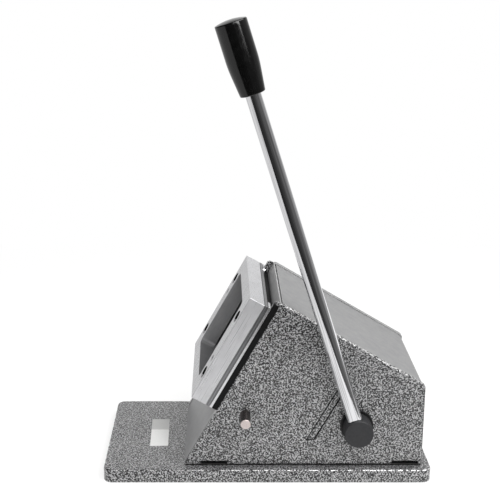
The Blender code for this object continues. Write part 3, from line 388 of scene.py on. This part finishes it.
def wallFaces(rings, steps):
    # quads between each ring of points and the next
    here, after = np.arange(steps), (np.arange(steps) + 1) % steps
    row = np.arange(rings - 1)[:, None] * steps
    quads = np.stack([row + here, row + after, row + steps + after, row + steps + here], axis=-1)
    return quads.reshape(-1, 4).tolist()


def ringFaces(rings, steps):
    # the walls and the two flat ends
    last = (rings - 1) * steps
    return wallFaces(rings, steps) + [list(range(last, last + steps)), list(range(steps - 1, -1, -1))]


def roundedRectangle(halfX, halfY, radius, steps):
    # steps points round a rectangle whose corners are arcs: corner centre + radius * (cos t, sin t)
    angle = np.linspace(0, fullTurn, steps, endpoint=False) + math.pi / steps
    return np.stack([np.sign(np.cos(angle)) * (halfX - radius) + radius * np.cos(angle),
                     np.sign(np.sin(angle)) * (halfY - radius) + radius * np.sin(angle)], axis=-1)


def carried(section, along):
    # a section carried straight along X: x = each place along it, y and z = each point of the section
    return np.column_stack([np.repeat(along, len(section)), np.tile(section, (len(along), 1))])


def quarterRound(centreRadius, centreHeight, radius, start, end, steps):
    # points of an arc of the given radius, from angle start to angle end
    angle = np.linspace(start, end, steps + 1)
    return list(zip(centreRadius + radius * np.cos(angle), centreHeight + radius * np.sin(angle)))


def placed(points, matrix):
    # each point turned by the matrix and moved to its place
    return points @ np.array(matrix.to_3x3()).T + np.array(matrix.translation)


# Lever: chromed bar and moulded knob
def makeRod():
    rod = {"diameter": 12.5 * mm, "start": 7.5 * mm, "end": 322.0 * mm, "chamfer": 0.6 * mm,
           "steps": 96, "rows": 12}
    r, c = rod["diameter"] / 2, rod["chamfer"]
    profile = [(0, rod["start"]), (r - c, rod["start"]), (r, rod["start"] + c)]
    profile += [(r, h) for h in np.linspace(rod["start"], rod["end"], rod["rows"])[1:-1]]
    profile += [(r, rod["end"] - c), (r - c, rod["end"]), (0, rod["end"])]
    points, faces = turnedSurface(profile, rod["steps"])
    piece = meshPiece("chromed_bar", placed(points, leverTurn), faces, chrome, "lever",
                      sharpAngle=25.0)
    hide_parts("lever_rod")


def makeKnob():
    # a cylinder that bends softly into a taper, a shallow dome and the fine seam of the two mould halves
    knob = {"low": 296.3 * mm, "length": 58.6 * mm, "lowerDiameter": 20.3 * mm, "upperDiameter": 25.4 * mm,
            "taperLength": 23.9 * mm, "bendRadius": 100.0 * mm, "dome": 1.7 * mm, "lowerRound": 1.0 * mm,
            "upperRound": 1.0 * mm, "roundShare": 0.93, "bore": 13.1 * mm, "boreDepth": 26.0 * mm,
            "seamHeight": 0.09 * mm, "seamWidth": 0.28 * mm, "seamAngle": 1.72, "seamFrom": 0.97,
            "steps": 256, "roundSteps": 8, "bendSteps": 12, "rows": 12, "domeSteps": 14}
    low, high = knob["low"], knob["low"] + knob["length"]
    lower, upper, bore = knob["lowerDiameter"] / 2, knob["upperDiameter"] / 2, knob["bore"] / 2
    shoulder = high - knob["dome"]
    rl, ru, bend = knob["lowerRound"], knob["upperRound"], knob["bendRadius"]
    turn = math.atan((upper - lower) / knob["taperLength"])
    bendHeight = low + knob["taperLength"] + bend * math.tan(turn / 2)
    profile = [(0, low + knob["boreDepth"]), (bore, low + knob["boreDepth"]), (bore, low)]
    profile += quarterRound(lower - rl, low + rl, rl, -math.pi / 2, 0, knob["roundSteps"])
    profile += quarterRound(upper - bend, bendHeight, bend, -turn, 0, knob["bendSteps"])
    profile += [(upper, h) for h in np.linspace(bendHeight, shoulder - ru, knob["rows"])[1:-1]]
    profile += quarterRound(upper - ru, shoulder - ru, ru, 0, math.pi / 2 * knob["roundShare"],
                            knob["roundSteps"])
    edgeRadius, edgeHeight = profile[-1]
    profile += [(edgeRadius * share, edgeHeight + (high - edgeHeight) * (1 - share * share))
                for share in np.linspace(1, 0, knob["domeSteps"])[1:]]

    def seam(angle, radius, height):
        # 1 plus a ridge exp(-(arc / width)^2) at the seam angle and half a turn on, only on the outer side
        apart = np.abs((angle - knob["seamAngle"] + math.pi / 2) % math.pi - math.pi / 2)
        outside = (radius > lower * knob["seamFrom"]) & (height < shoulder)
        ridge = knob["seamHeight"] * np.exp(-(apart * radius / knob["seamWidth"]) ** 2)
        return 1 + np.where(outside, ridge / np.maximum(radius, mm), 0)

    points, faces = turnedSurface(profile, knob["steps"], seam)
    piece = meshPiece("moulded_knob", placed(points, leverTurn), faces, phenolic, "lever",
                      sharpAngle=40.0)
    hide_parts("lever_knob")


makeRod()
makeKnob()
print("lever made")


# Dressed copies of CAD nodes: merged, round faces shaded smooth, sharp edges eased as a file leaves them
dressing = {"mergeWithin": 0.002 * mm, "flatWithin": math.radians(0.3), "easedOver": math.radians(34),
            "sharpOver": math.radians(32), "segments": 3, "flatWeight": 90}


def flattenFaces(piece):
    # a wide flat face keeps one even shade up to its eased edges
    flat = piece.modifiers.new("flat_faces", "WEIGHTED_NORMAL")
    flat.keep_sharp, flat.weight = True, dressing["flatWeight"]


def dressedCopy(node, name, material, body, edge=None, wideEdge=None, picks=(), edgePick=None,
                reshape=None):
    # edge: width of the eased edges; wideEdge: of those that edgePick numbers
    # picks: pairs of another material and a test of the faces' centres and normals
    # edgePick: the number of the pick whose material an edge takes when eased, 0 for its faces' own
    # reshape: moves the points
    piece = frame["nodes"][node].copy()
    piece.data = piece.data.copy()
    for key in list(piece.keys()):
        del piece[key]
    piece.name = piece.data.name = name
    piece.parent = None
    bpy.context.scene.collection.objects.link(piece)
    mesh = piece.data
    if mesh.has_custom_normals:
        mesh.attributes.remove(mesh.attributes["custom_normal"])
    bm = bmesh.new()
    bm.from_mesh(mesh)
    bmesh.ops.remove_doubles(bm, verts=bm.verts, dist=dressing["mergeWithin"])
    if edge:
        bmesh.ops.dissolve_limit(bm, angle_limit=dressing["flatWithin"], verts=bm.verts, edges=bm.edges)
    if reshape:
        for corner, place in zip(bm.verts, reshape(np.array([corner.co for corner in bm.verts]))):
            corner.co = place
        bm.normal_update()
    for number, (other, faces) in enumerate(picks, 1):
        centres = np.array([face.calc_center_median() for face in bm.faces])
        chosen = faces(centres, np.array([face.normal for face in bm.faces]))
        for face, isChosen in zip(bm.faces, chosen):
            if isChosen:
                face.material_index = number
    for number in range(len(picks), -1, -1) if edge else ():
        sharp = [line for line in bm.edges
                 if line.is_manifold and line.calc_face_angle() > dressing["easedOver"]
                 and number == (edgePick(line) if edgePick else 0)]
        if sharp:
            bmesh.ops.bevel(bm, geom=sharp, offset=wideEdge if wideEdge and number else edge,
                            offset_type="OFFSET", segments=dressing["segments"], profile=0.5,
                            affect="EDGES", material=number or -1, clamp_overlap=True)
    mesh.materials.clear()
    for each in [material] + [other for other, faces in picks]:
        mesh.materials.append(each)
    bm.to_mesh(mesh)            # after the materials, because clearing them also clears the faces' picks
    bm.free()
    mesh.shade_smooth()
    mesh.set_sharp_from_angle(angle=dressing["sharpOver"])
    if edge:
        flattenFaces(piece)
    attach(piece, body)
    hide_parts(node)


outward = np.array([-math.sin(inclineAngle), 0, math.cos(inclineAngle)])     # square out from the head
upwards = np.array([math.cos(inclineAngle), 0, math.sin(inclineAngle)])      # up along the head
downSlope = np.array([math.cos(coverSlope), 0, -math.sin(coverSlope)])       # down along the cover
facing = 0.5            # a face looks along a direction when its normal has more than this of it,
wallShare = 0.7         # and it is the wall of a hole or shank when its normal has less than this along it


def middleAndRun(line):
    # an edge's middle, and the way from its one end to the other
    first, last = (np.array(corner.co, float) for corner in line.verts)
    return (first + last) / 2, last - first


# The side plates: heights over the base of the foot's underside (gap) and of its reliefs, and of the rim
sidePlate = {"cadGap": 0.3 * mm, "gap": 1.4 * mm, "cadRelief": 2.9 * mm, "relief": 4.6 * mm,
             "slack": 0.1 * mm, "rimAbove": 8 * mm,
             "openingReach": 48 * mm,           # the mortise and bush hole are nearer the axle than this
             "sloping": 0.98, "upright": 0.95}  # least share of the slope, or of +Z, in such an edge


def fromAxle(points):
    # distance to the axle's line, which runs along Y
    return np.linalg.norm((points - np.array(axle)) * np.array([1, 0, 1]), axis=-1)


def rimFaces(centres, normals):
    # the edge faces that look up, openings apart
    outside = fromAxle(centres) > sidePlate["openingReach"]
    return (np.abs(normals[:, 1]) < facing) & (normals[:, 2] > facing) & outside


def openingShadeFaces(centres, normals):
    # the walls of the mortise and of the bush hole, which take the near-black finish: painted shade
    return (np.abs(normals[:, 1]) < facing) & (fromAxle(centres) <= sidePlate["openingReach"])


def innerFaces(centres, normals):
    # the far side's inner face, which looks towards -Y
    return normals[:, 1] < -facing


def rimEdge(line):
    # 1 for the sloping top edge, 2 for the upright rear edge, which takes the near-black finish as a painted dark
    # line of shade
    middle, run = middleAndRun(line)
    length = np.linalg.norm(run)
    if fromAxle(middle) <= sidePlate["openingReach"] or middle[2] < baseHigh.z + sidePlate["rimAbove"]:
        return 0
    if abs(run @ downSlope) > sidePlate["sloping"] * length:
        return 1
    return 2 if abs(run[2]) > sidePlate["upright"] * length else 0


def openFoot(points):
    # the foot is lifted a little, so that the seam and the reliefs under it show as dark as on a real one
    height = points[:, 2] - baseHigh.z
    lifted = np.interp(height, [sidePlate["cadGap"], sidePlate["cadRelief"]],
                       [sidePlate["gap"], sidePlate["relief"]])
    below = height < sidePlate["cadRelief"] + sidePlate["slack"]
    points[:, 2] = np.where(below, baseHigh.z + lifted, points[:, 2])
    return points


# The die block, measured from its middle along and across the head
block = {"boreReach": 5.8 * mm, "windowAcross": 43.5 * mm, "windowAlong": 40 * mm, "longEdge": 30 * mm,
         "sideSlack": 1 * mm}
blockLow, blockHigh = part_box("die_block")
blockMiddle = np.array((blockLow + blockHigh) / 2)
boreMiddles = [np.mean(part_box(f"cap_screw_{number}"), axis=0) for number in (1, 2, 3, 4)]


def nearBores(points):
    # true for points near a cap screw's axis, which stands square to the head
    near = np.zeros(len(points), bool)
    for boreMiddle in boreMiddles:
        offset = points - boreMiddle
        offset -= np.outer(offset @ outward, outward)
        near |= np.linalg.norm(offset, axis=1) < block["boreReach"]
    return near


# the counterbores' walls, which take the near-black finish: painted shade
def boreShadeFaces(centres, normals):
    return nearBores(centres) & (np.abs(normals @ outward) < wallShare)


def windowFaces(centres, normals):
    # the walls of the die's window
    offset = centres - blockMiddle
    across, along = np.abs(offset[:, 1]), np.abs(offset @ upwards)
    inside = (across < block["windowAcross"]) & (along < block["windowAlong"])
    return inside & (np.abs(normals @ outward) < wallShare)


def windowFloor(centres, normals):
    # its lower wall, which looks up along the head and takes the darker copy of the wall finish: painted shade
    return windowFaces(centres, normals) & (normals @ upwards > facing)


def boreEdge(line):
    # 1 for the counterbores' mouths and for the long front edge on the lever's side; eased, they take the
    # near-black finish: painted shade in the bores and a painted dark line along that edge
    middle, run = middleAndRun(line)
    leverSide = middle[1] < blockLow.y + block["sideSlack"]
    front = leverSide and abs(run @ upwards) > block["longEdge"] and (middle - blockMiddle) @ outward > 0
    return 1 if front or nearBores(middle[None])[0] else 0


# The stop pin, the cross plate and the cover
tie = {"thinner": 0.65 * mm, "shorter": 0.4 * mm, "endShare": 0.9}      # at each face and at each end
coverSeam = {"width": 1.0 * mm, "frontWithin": 3 * mm}


# the pin's shank, which takes the darker copy of its steel: painted dark reflection
def shankFaces(centres, normals):
    return np.abs(normals[:, 1]) < wallShare


def thinnerTie(points):
    # the cross plate's end stands a little clear of its mortise, so that the joint shows as two dark lines;
    # only its outer ends are drawn in, and the stem's guide hole stays
    low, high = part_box("cross_plate")
    offset = points - np.array((low + high) / 2)
    out, up = offset @ outward, offset @ upwards
    atEnd = np.abs(up) > tie["endShare"] * np.abs(up).max()
    return (points - np.outer(np.sign(out) * tie["thinner"], outward)
            - np.outer(np.sign(up) * atEnd * tie["shorter"], upwards))


def shorterCover(points):
    # the cover's front end is drawn back along its slope, which leaves the dark seam behind the front
    # plate's lip
    front = points[:, 0] < coverLow.x + coverSeam["frontWithin"]
    return points + np.outer(front * coverSeam["width"], downSlope)


dressedCopy("lever_hub", "turned_hub", phosphate, "lever")
dressedCopy("shaft_bush_near", "flanged_bush_near", blackedSteelAndShade, "body")
dressedCopy("shaft_bush_far", "flanged_bush_far", blackedSteelAndShade, "body")
dressedCopy("shaft_collar", "turned_collar", phosphate, "lever")
dressedCopy("stop_pin", "turned_stop_pin", pinSteel, "body", picks=[(pinShankPaintedDark, shankFaces)])
# the near side's sloping top edge and rim take the hammertone copy with white in its tones: painted highlight
dressedCopy("side_plate_near", "enamelled_side_near", hammertone, "body", edge=0.7 * mm, wideEdge=1.5 * mm,
            picks=[(enamelPaintedHighlight, rimFaces), (blackOxideAndShade, openingShadeFaces)], edgePick=rimEdge, reshape=openFoot)
# on both sides the openings and the upright rear edge take the near-black finish: painted shade
dressedCopy("side_plate_far", "enamelled_side_far", hammertone, "body", edge=0.5 * mm,
            picks=[(panelPaint, rimFaces), (blackOxideAndShade, openingShadeFaces), (panelPaint, innerFaces)],
            edgePick=rimEdge, reshape=openFoot)
dressedCopy("cross_plate", "enamelled_cross_plate", hammertone, "body", edge=0.4 * mm, reshape=thinnerTie)
# the front plate takes the paler copy of the panel enamel: painted light
dressedCopy("front_plate", "enamelled_front", panelPaintPaintedLight, "body", edge=0.2 * mm)
dressedCopy("cover", "folded_cover", panelPaint, "body", edge=0.3 * mm, reshape=shorterCover)
# the block's bores and lever-side front edge are near black and its window's lower wall darker: painted shade
dressedCopy("die_block", "ground_die_block", groundSteel, "body", edge=0.4 * mm,
            picks=[(blackOxideAndShade, boreShadeFaces), (milledSteel, windowFaces), (milledSteelPaintedShade, windowFloor)],
            edgePick=boreEdge)
dressedCopy("die_plate", "ground_die_plate", dieSteel, "body", edge=0.2 * mm)
dressedCopy("feed_guide", "ground_feed_fork", forkSteelPaintedHighlight, "body", edge=0.2 * mm)
dressedCopy("stripper_plate", "blacked_stripper", blackOxideAndShade, "body", edge=0.2 * mm)
print("dressed copies made")


# Base and seals
def makeBase():
    # rings of a rounded rectangle: going up, each is inset by the lower round and then by the upper round
    base = {"corner": 7.5 * mm, "lowerRound": 1.0 * mm, "upperRound": 1.3 * mm,
            "steps": 64, "roundSteps": 7, "rimFrom": 2, "rimRows": 2}       # rim: rows that catch the light, painted with the highlight copy
    halfX, halfY, top = baseHigh.x, baseHigh.y, baseHigh.z
    corner, steps = base["corner"], base["steps"]
    turn = np.linspace(0, math.pi / 2, base["roundSteps"])
    lower, upper = base["lowerRound"], base["upperRound"]
    inset = np.concatenate([lower * (1 - np.sin(turn)), upper * (1 - np.cos(turn))])
    height = np.concatenate([lower * (1 - np.cos(turn)), top - upper * (1 - np.sin(turn))])
    rings = [np.column_stack([roundedRectangle(halfX - back, halfY - back, corner - back, steps),
                              np.full(steps, level)]) for back, level in zip(inset, height)]
    piece = meshPiece("enamelled_base", np.vstack(rings), ringFaces(len(rings), steps), hammertone, "body",
                      sharpAngle=40.0)
    # the rim rows take the hammertone copy with white in its tones: painted highlight
    piece.data.materials.append(enamelPaintedHighlight)
    rim = np.zeros(len(piece.data.polygons), np.int32)
    first = (base["roundSteps"] + base["rimFrom"]) * steps
    rim[first:first + base["rimRows"] * steps] = 1
    piece.data.polygons.foreach_set("material_index", rim)
    flattenFaces(piece)
    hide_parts("base_plate")


def makeFootShadeStrips():
    # a matt black strip under each side's foot, set back from the outer face, darkens the seam there: painted
    # shade; a rounded bar along X
    shadeStrip = {"width": 3.4 * mm, "height": 1.5 * mm, "round": 0.4 * mm, "setBack": 0.5 * mm,
            "sunk": 0.05 * mm, "frontShort": 1.0 * mm, "rearShort": 0.5 * mm, "steps": 24, "rows": 40}
    low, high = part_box("side_plate_near")
    section = roundedRectangle(shadeStrip["width"] / 2, shadeStrip["height"] / 2, shadeStrip["round"], shadeStrip["steps"])
    along = np.linspace(low.x + shadeStrip["frontShort"], high.x - shadeStrip["rearShort"], shadeStrip["rows"])
    out = -low.y - shadeStrip["setBack"] - shadeStrip["width"] / 2
    up = baseHigh.z + shadeStrip["height"] / 2 - shadeStrip["sunk"]
    for name, side in (("foot_shade_strip_near", -1), ("foot_shade_strip_far", 1)):
        meshPiece(name, carried(section + [side * out, up], along), ringFaces(shadeStrip["rows"], shadeStrip["steps"]),
                  matteBlackShade, "body")


def makeCoverShadeCords():
    # a matt black cord laid in the corner between each side plate and the cover darkens the seam there: painted
    # shade; a rounded bar run down the slope
    shadeStrip = {"width": 2.6 * mm, "height": 1.4 * mm, "round": 0.5 * mm, "frontShort": 1.5 * mm,
            "rearShort": 2.5 * mm, "steps": 24, "rows": 30}
    section = roundedRectangle(shadeStrip["width"] / 2, shadeStrip["height"] / 2, shadeStrip["round"], shadeStrip["steps"])
    slopeLength = (coverHigh.x - coverLow.x) / math.cos(coverSlope)
    along = np.linspace(shadeStrip["frontShort"], slopeLength - shadeStrip["rearShort"], shadeStrip["rows"])
    place = Matrix.Translation((coverLow.x, 0, coverHigh.z)) @ Matrix.Rotation(coverSlope, 4, "Y")
    out = -coverLow.y - shadeStrip["width"] / 2
    for name, side in (("cover_shade_cord_near", -1), ("cover_shade_cord_far", 1)):
        meshPiece(name, placed(carried(section + [side * out, 0], along), place),
                  ringFaces(shadeStrip["rows"], shadeStrip["steps"]), matteBlackShade, "body")


makeBase()
makeFootShadeStrips()
makeCoverShadeCords()
print("base and seals made")


# Screws and label
def buttonHead(screw):
    # a turned head: flat below, a rim, a low crown, and a socket whose rings follow a hexagon,
    # radius = across flats / 2 / cos((t mod 60 degrees) - 30 degrees)
    radius, height, key, ease = screw["diameter"] / 2, screw["height"], screw["key"] / 2, screw["ease"]
    flat, rim = key * screw["flatShare"], screw["rim"]
    profile = [(0, -screw["sunk"]), (radius, -screw["sunk"])]
    profile += [(flat + (radius - flat) * math.cos(a), rim + (height - rim) * math.sin(a))
                for a in np.linspace(0, math.pi / 2, screw["crownSteps"])]
    profile += [(key + ease, height), (key, height - ease)]
    profile += [(key, height - screw["depth"]), (0, height - screw["depth"])]

    def hexagon(angle, radiusHere, heightHere):
        corner = 1 / np.cos(angle % (math.pi / 3) - math.pi / 6)
        return np.where(radiusHere < key + 2 * ease, corner, 1.0)

    return turnedSurface(profile, screw["steps"], hexagon)


def makeCoverScrews():
    # four low button heads hold the folded cover to the sides' rear
    screw = {"diameter": 7.6 * mm, "height": 2.1 * mm, "rim": 0.5 * mm, "key": 2.5 * mm, "depth": 1.3 * mm,
             "flatShare": 1.28, "ease": 0.1 * mm, "sunk": 0.05 * mm, "steps": 48, "crownSteps": 7,
             "sides": (-46 * mm, 46 * mm), "heights": (24 * mm, 66 * mm)}
    points, faces = buttonHead(screw)
    turn = Matrix.Rotation(math.pi / 2, 4, "Y")
    places = [(y, z) for y in screw["sides"] for z in screw["heights"]]
    for count, (y, z) in enumerate(places, 1):
        place = Matrix.Translation((coverHigh.x, y, z)) @ turn
        meshPiece(f"button_screw_{count}", placed(points, place), faces, blackOxideAndShade, "body",
                  sharpAngle=30.0)


def makeLabel():
    # a plain two-tone sticker of coated paper, left blank: rings of a rounded rectangle, the last one
    # drawn in a little
    label = {"centre": (-95.4 * mm, 1.6 * mm), "size": (16.1 * mm, 54.2 * mm), "corner": 0.8 * mm,
             "thickness": 0.12 * mm, "edgeRound": 0.08 * mm, "edgeShare": 0.6, "turn": math.radians(1.35),
             "steps": 48}
    halfX, halfY = label["size"][0] / 2, label["size"][1] / 2
    rings = [np.column_stack([roundedRectangle(halfX - back, halfY - back, label["corner"], label["steps"]),
                              np.full(label["steps"], share * label["thickness"])])
             for back, share in ((0, 0), (0, label["edgeShare"]), (label["edgeRound"], 1.0))]
    place = Matrix.Translation((*label["centre"], baseHigh.z)) @ Matrix.Rotation(label["turn"], 4, "Z")
    meshPiece("blank_label", placed(np.vstack(rings), place), ringFaces(len(rings), label["steps"]),
              labelPaper, "body", sharpAngle=25.0)


makeCoverScrews()
makeLabel()
print("screws and label made")

# Materials of the CAD nodes that stay
finishes = {"hammertone": hammertone, "panel_paint": panelPaint, "ground_steel": groundSteel,
            "die_steel": dieSteel, "plain_steel": innerSteel, "bare_steel": pinSteel,
            "black_oxide": blackOxideAndShade, "dark_hub": phosphate, "chrome": chrome, "black_plastic": phenolic}
for nodeName, node in frame["nodes"].items():
    node.data.materials.clear()
    node.data.materials.append(finishes[slots[nodeName]])
print("CAD nodes finished:", len(slots))


# Studio
plainWhite = linear("#ffffff")


def mirroredRays(tree, path):
    # 1 for the rays that metal and glass send on, 0 for all others
    either = addNode(tree, "Math", {"operation": "MAXIMUM"}, {
        0: path.outputs["Is Glossy Ray"], 1: path.outputs["Is Transmission Ray"]})
    return either.outputs["Value"]


def makeFloor():
    # a white sweep whose front edge stops short of the camera, as the bar's reflection shows;
    # it fades to plain white away from the object and keeps the shadow near it
    floor = {"colour": "#f3f3f2", "nearWhite": 0.72, "fadeStart": 0.25, "fadeEnd": 0.75,
             "mirroredX": (-0.25, 0.3), "mirroredWhite": (0.74, 1.05),      # brighter towards +X
             "outline": [(-1.6, -1.7), (-0.28, -0.36), (-0.13, -0.37), (0.07, -0.40), (0.23, -0.35),
                         (0.38, -0.31), (0.46, -0.18), (0.50, -0.04), (1.3, 0.2), (1.3, 2.6), (-1.6, 2.6)]}
    mesh = bpy.data.meshes.new("floor")
    mesh.from_pydata([(x, y, 0) for x, y in floor["outline"]], [], [list(range(len(floor["outline"])))])
    material = bpy.data.materials.new("pale_floor")
    material.use_nodes = True
    tree = material.node_tree
    tree.nodes.clear()
    path = addNode(tree, "LightPath")
    coords = addNode(tree, "TexCoord").outputs["Object"]
    away = addNode(tree, "VectorMath", {"operation": "LENGTH"}, {0: coords})
    whiteShare = addNode(tree, "MapRange", None, {
        "Value": away.outputs["Value"], "From Min": floor["fadeStart"], "From Max": floor["fadeEnd"],
        "To Min": floor["nearWhite"], "To Max": 1.0})
    matt = addNode(tree, "BsdfDiffuse", None, {"Color": linear(floor["colour"])})
    white = addNode(tree, "Emission", None, {"Color": plainWhite, "Strength": 1.0})
    where = addNode(tree, "SeparateXYZ", None, {"Vector": coords})
    level = addNode(tree, "MapRange", None, {
        "Value": where.outputs["X"], "From Min": floor["mirroredX"][0], "From Max": floor["mirroredX"][1],
        "To Min": floor["mirroredWhite"][0], "To Max": floor["mirroredWhite"][1]})
    sweep = addNode(tree, "Emission", None, {"Color": plainWhite, "Strength": level.outputs["Result"]})
    share = addNode(tree, "Math", {"operation": "MULTIPLY"}, {
        0: path.outputs["Is Camera Ray"], 1: whiteShare.outputs["Result"]})
    seen = addNode(tree, "MixShader", None, {
        "Fac": share.outputs["Value"], 1: matt.outputs["BSDF"], 2: white.outputs["Emission"]})
    mixed = addNode(tree, "MixShader", None, {
        "Fac": mirroredRays(tree, path), 1: seen.outputs["Shader"], 2: sweep.outputs["Emission"]})
    addNode(tree, "OutputMaterial", None, {"Surface": mixed.outputs["Shader"]})
    mesh.materials.append(material)
    piece = bpy.data.objects.new("floor", mesh)
    bpy.context.scene.collection.objects.link(piece)


def makeWorld():
    # an even soft light, plain white to the camera; mirrored rays see the room round the sweep, whose tone
    # at the bar's level goes by the bearing in degrees from the camera's side towards +X, and a dark room
    # above that
    studio = {"fill": 0.5, "glowTop": 0.46, "glowEnd": 0.58, "dark": "#303030", "room": [
        (-180, "#f8f8f8"), (180, "#f8f8f8"), (-125, "#c8c8c8"), (-112, "#303030"), (-46, "#2a2a2a"),
        (-8, "#2f2f2f"), (18, "#484848"), (31, "#565656"), (45, "#5f5f5f"), (60, "#5f5f5f"),
        (75, "#6c6c6c"), (93, "#9a9a9a"), (115, "#a0a0a0")]}
    world = bpy.data.worlds.new("studio")
    bpy.context.scene.world = world
    world.use_nodes = True
    tree = world.node_tree
    tree.nodes.clear()
    path = addNode(tree, "LightPath")
    coords = addNode(tree, "TexCoord").outputs["Generated"]     # in a world, the ray's direction
    direction = addNode(tree, "SeparateXYZ", None, {"Vector": coords})
    forward = addNode(tree, "Math", {"operation": "MULTIPLY"}, {0: direction.outputs["Y"], 1: -1.0})
    bearing = addNode(tree, "Math", {"operation": "ARCTAN2"}, {
        0: direction.outputs["X"], 1: forward.outputs["Value"]})
    share = addNode(tree, "MapRange", None, {
        "Value": bearing.outputs["Value"], "From Min": -math.pi, "From Max": math.pi})
    room = addNode(tree, "ValToRGB", None, {"Fac": share.outputs["Result"]},
                   [(degrees / 360 + 0.5, colour) for degrees, colour in studio["room"]])
    above = addNode(tree, "MapRange", None, {
        "Value": direction.outputs["Z"], "From Min": studio["glowTop"], "From Max": studio["glowEnd"]})
    view = addNode(tree, "Mix", mixColours, {
        colourFactor: above.outputs["Result"], colourA: room.outputs["Color"],
        colourB: linear(studio["dark"])})
    soft = addNode(tree, "Background", None, {"Color": plainWhite, "Strength": studio["fill"]})
    seen = addNode(tree, "Background", None, {"Color": view.outputs[colourResult], "Strength": 1.0})
    plain = addNode(tree, "Background", None, {"Color": plainWhite, "Strength": 1.0})
    first = addNode(tree, "MixShader", None, {
        "Fac": mirroredRays(tree, path), 1: soft.outputs["Background"], 2: seen.outputs["Background"]})
    second = addNode(tree, "MixShader", None, {
        "Fac": path.outputs["Is Camera Ray"], 1: first.outputs["Shader"], 2: plain.outputs["Background"]})
    addNode(tree, "OutputWorld", None, {"Surface": second.outputs["Shader"]})


def makeLamp(name, lamp):
    data = bpy.data.lights.new(name, "AREA")
    data.shape = "RECTANGLE"
    data.size, data.size_y = lamp["size"]
    data.energy = lamp["watts"]
    lightObject = bpy.data.objects.new(name, data)
    bpy.context.scene.collection.objects.link(lightObject)
    lightObject.location = lamp["place"]
    aim = Vector(lamp["aim"]) - Vector(lamp["place"])
    lightObject.rotation_euler = aim.to_track_quat("-Z", "Y").to_euler()
    lightObject.visible_camera = False
    lightObject.visible_glossy = lamp["mirrored"]


def makeCamera():
    # fitted to the photograph: focal length and principal point in its pixels
    shot = {"focalPixels": 1021.7, "middle": (222.1, 239.0), "photoPixels": 500, "sensor": 36.0,
            "place": (-0.0385, -0.8542, 0.4357), "pitchDown": 15.633}
    data = bpy.data.cameras.new("camera")
    data.sensor_width = shot["sensor"]
    data.lens = shot["focalPixels"] / shot["photoPixels"] * shot["sensor"]
    data.shift_x = 0.5 - shot["middle"][0] / shot["photoPixels"]
    data.shift_y = shot["middle"][1] / shot["photoPixels"] - 0.5
    camera = bpy.data.objects.new("camera", data)
    bpy.context.scene.collection.objects.link(camera)
    camera.location = shot["place"]
    camera.rotation_euler = (math.radians(90 - shot["pitchDown"]), 0, 0)
    bpy.context.scene.camera = camera


makeFloor()
makeWorld()
makeLamp("key_right", {
    "place": (0.52, -0.98, 0.78), "aim": (0, 0, 0.1), "size": (1.1, 0.4), "watts": 9.0, "mirrored": True})
makeLamp("overhead", {
    "place": (0.70, -0.35, 1.25), "aim": (0.10, -0.05, 0.1), "size": (1.5, 0.8), "watts": 20.0,
    "mirrored": True})
makeLamp("left", {
    "place": (-0.75, -0.35, 1.10), "aim": (0, 0, 0.1), "size": (0.6, 0.6), "watts": 7.0, "mirrored": False})
makeCamera()
bpy.context.scene.view_settings.view_transform = "Standard"
print("studio made")
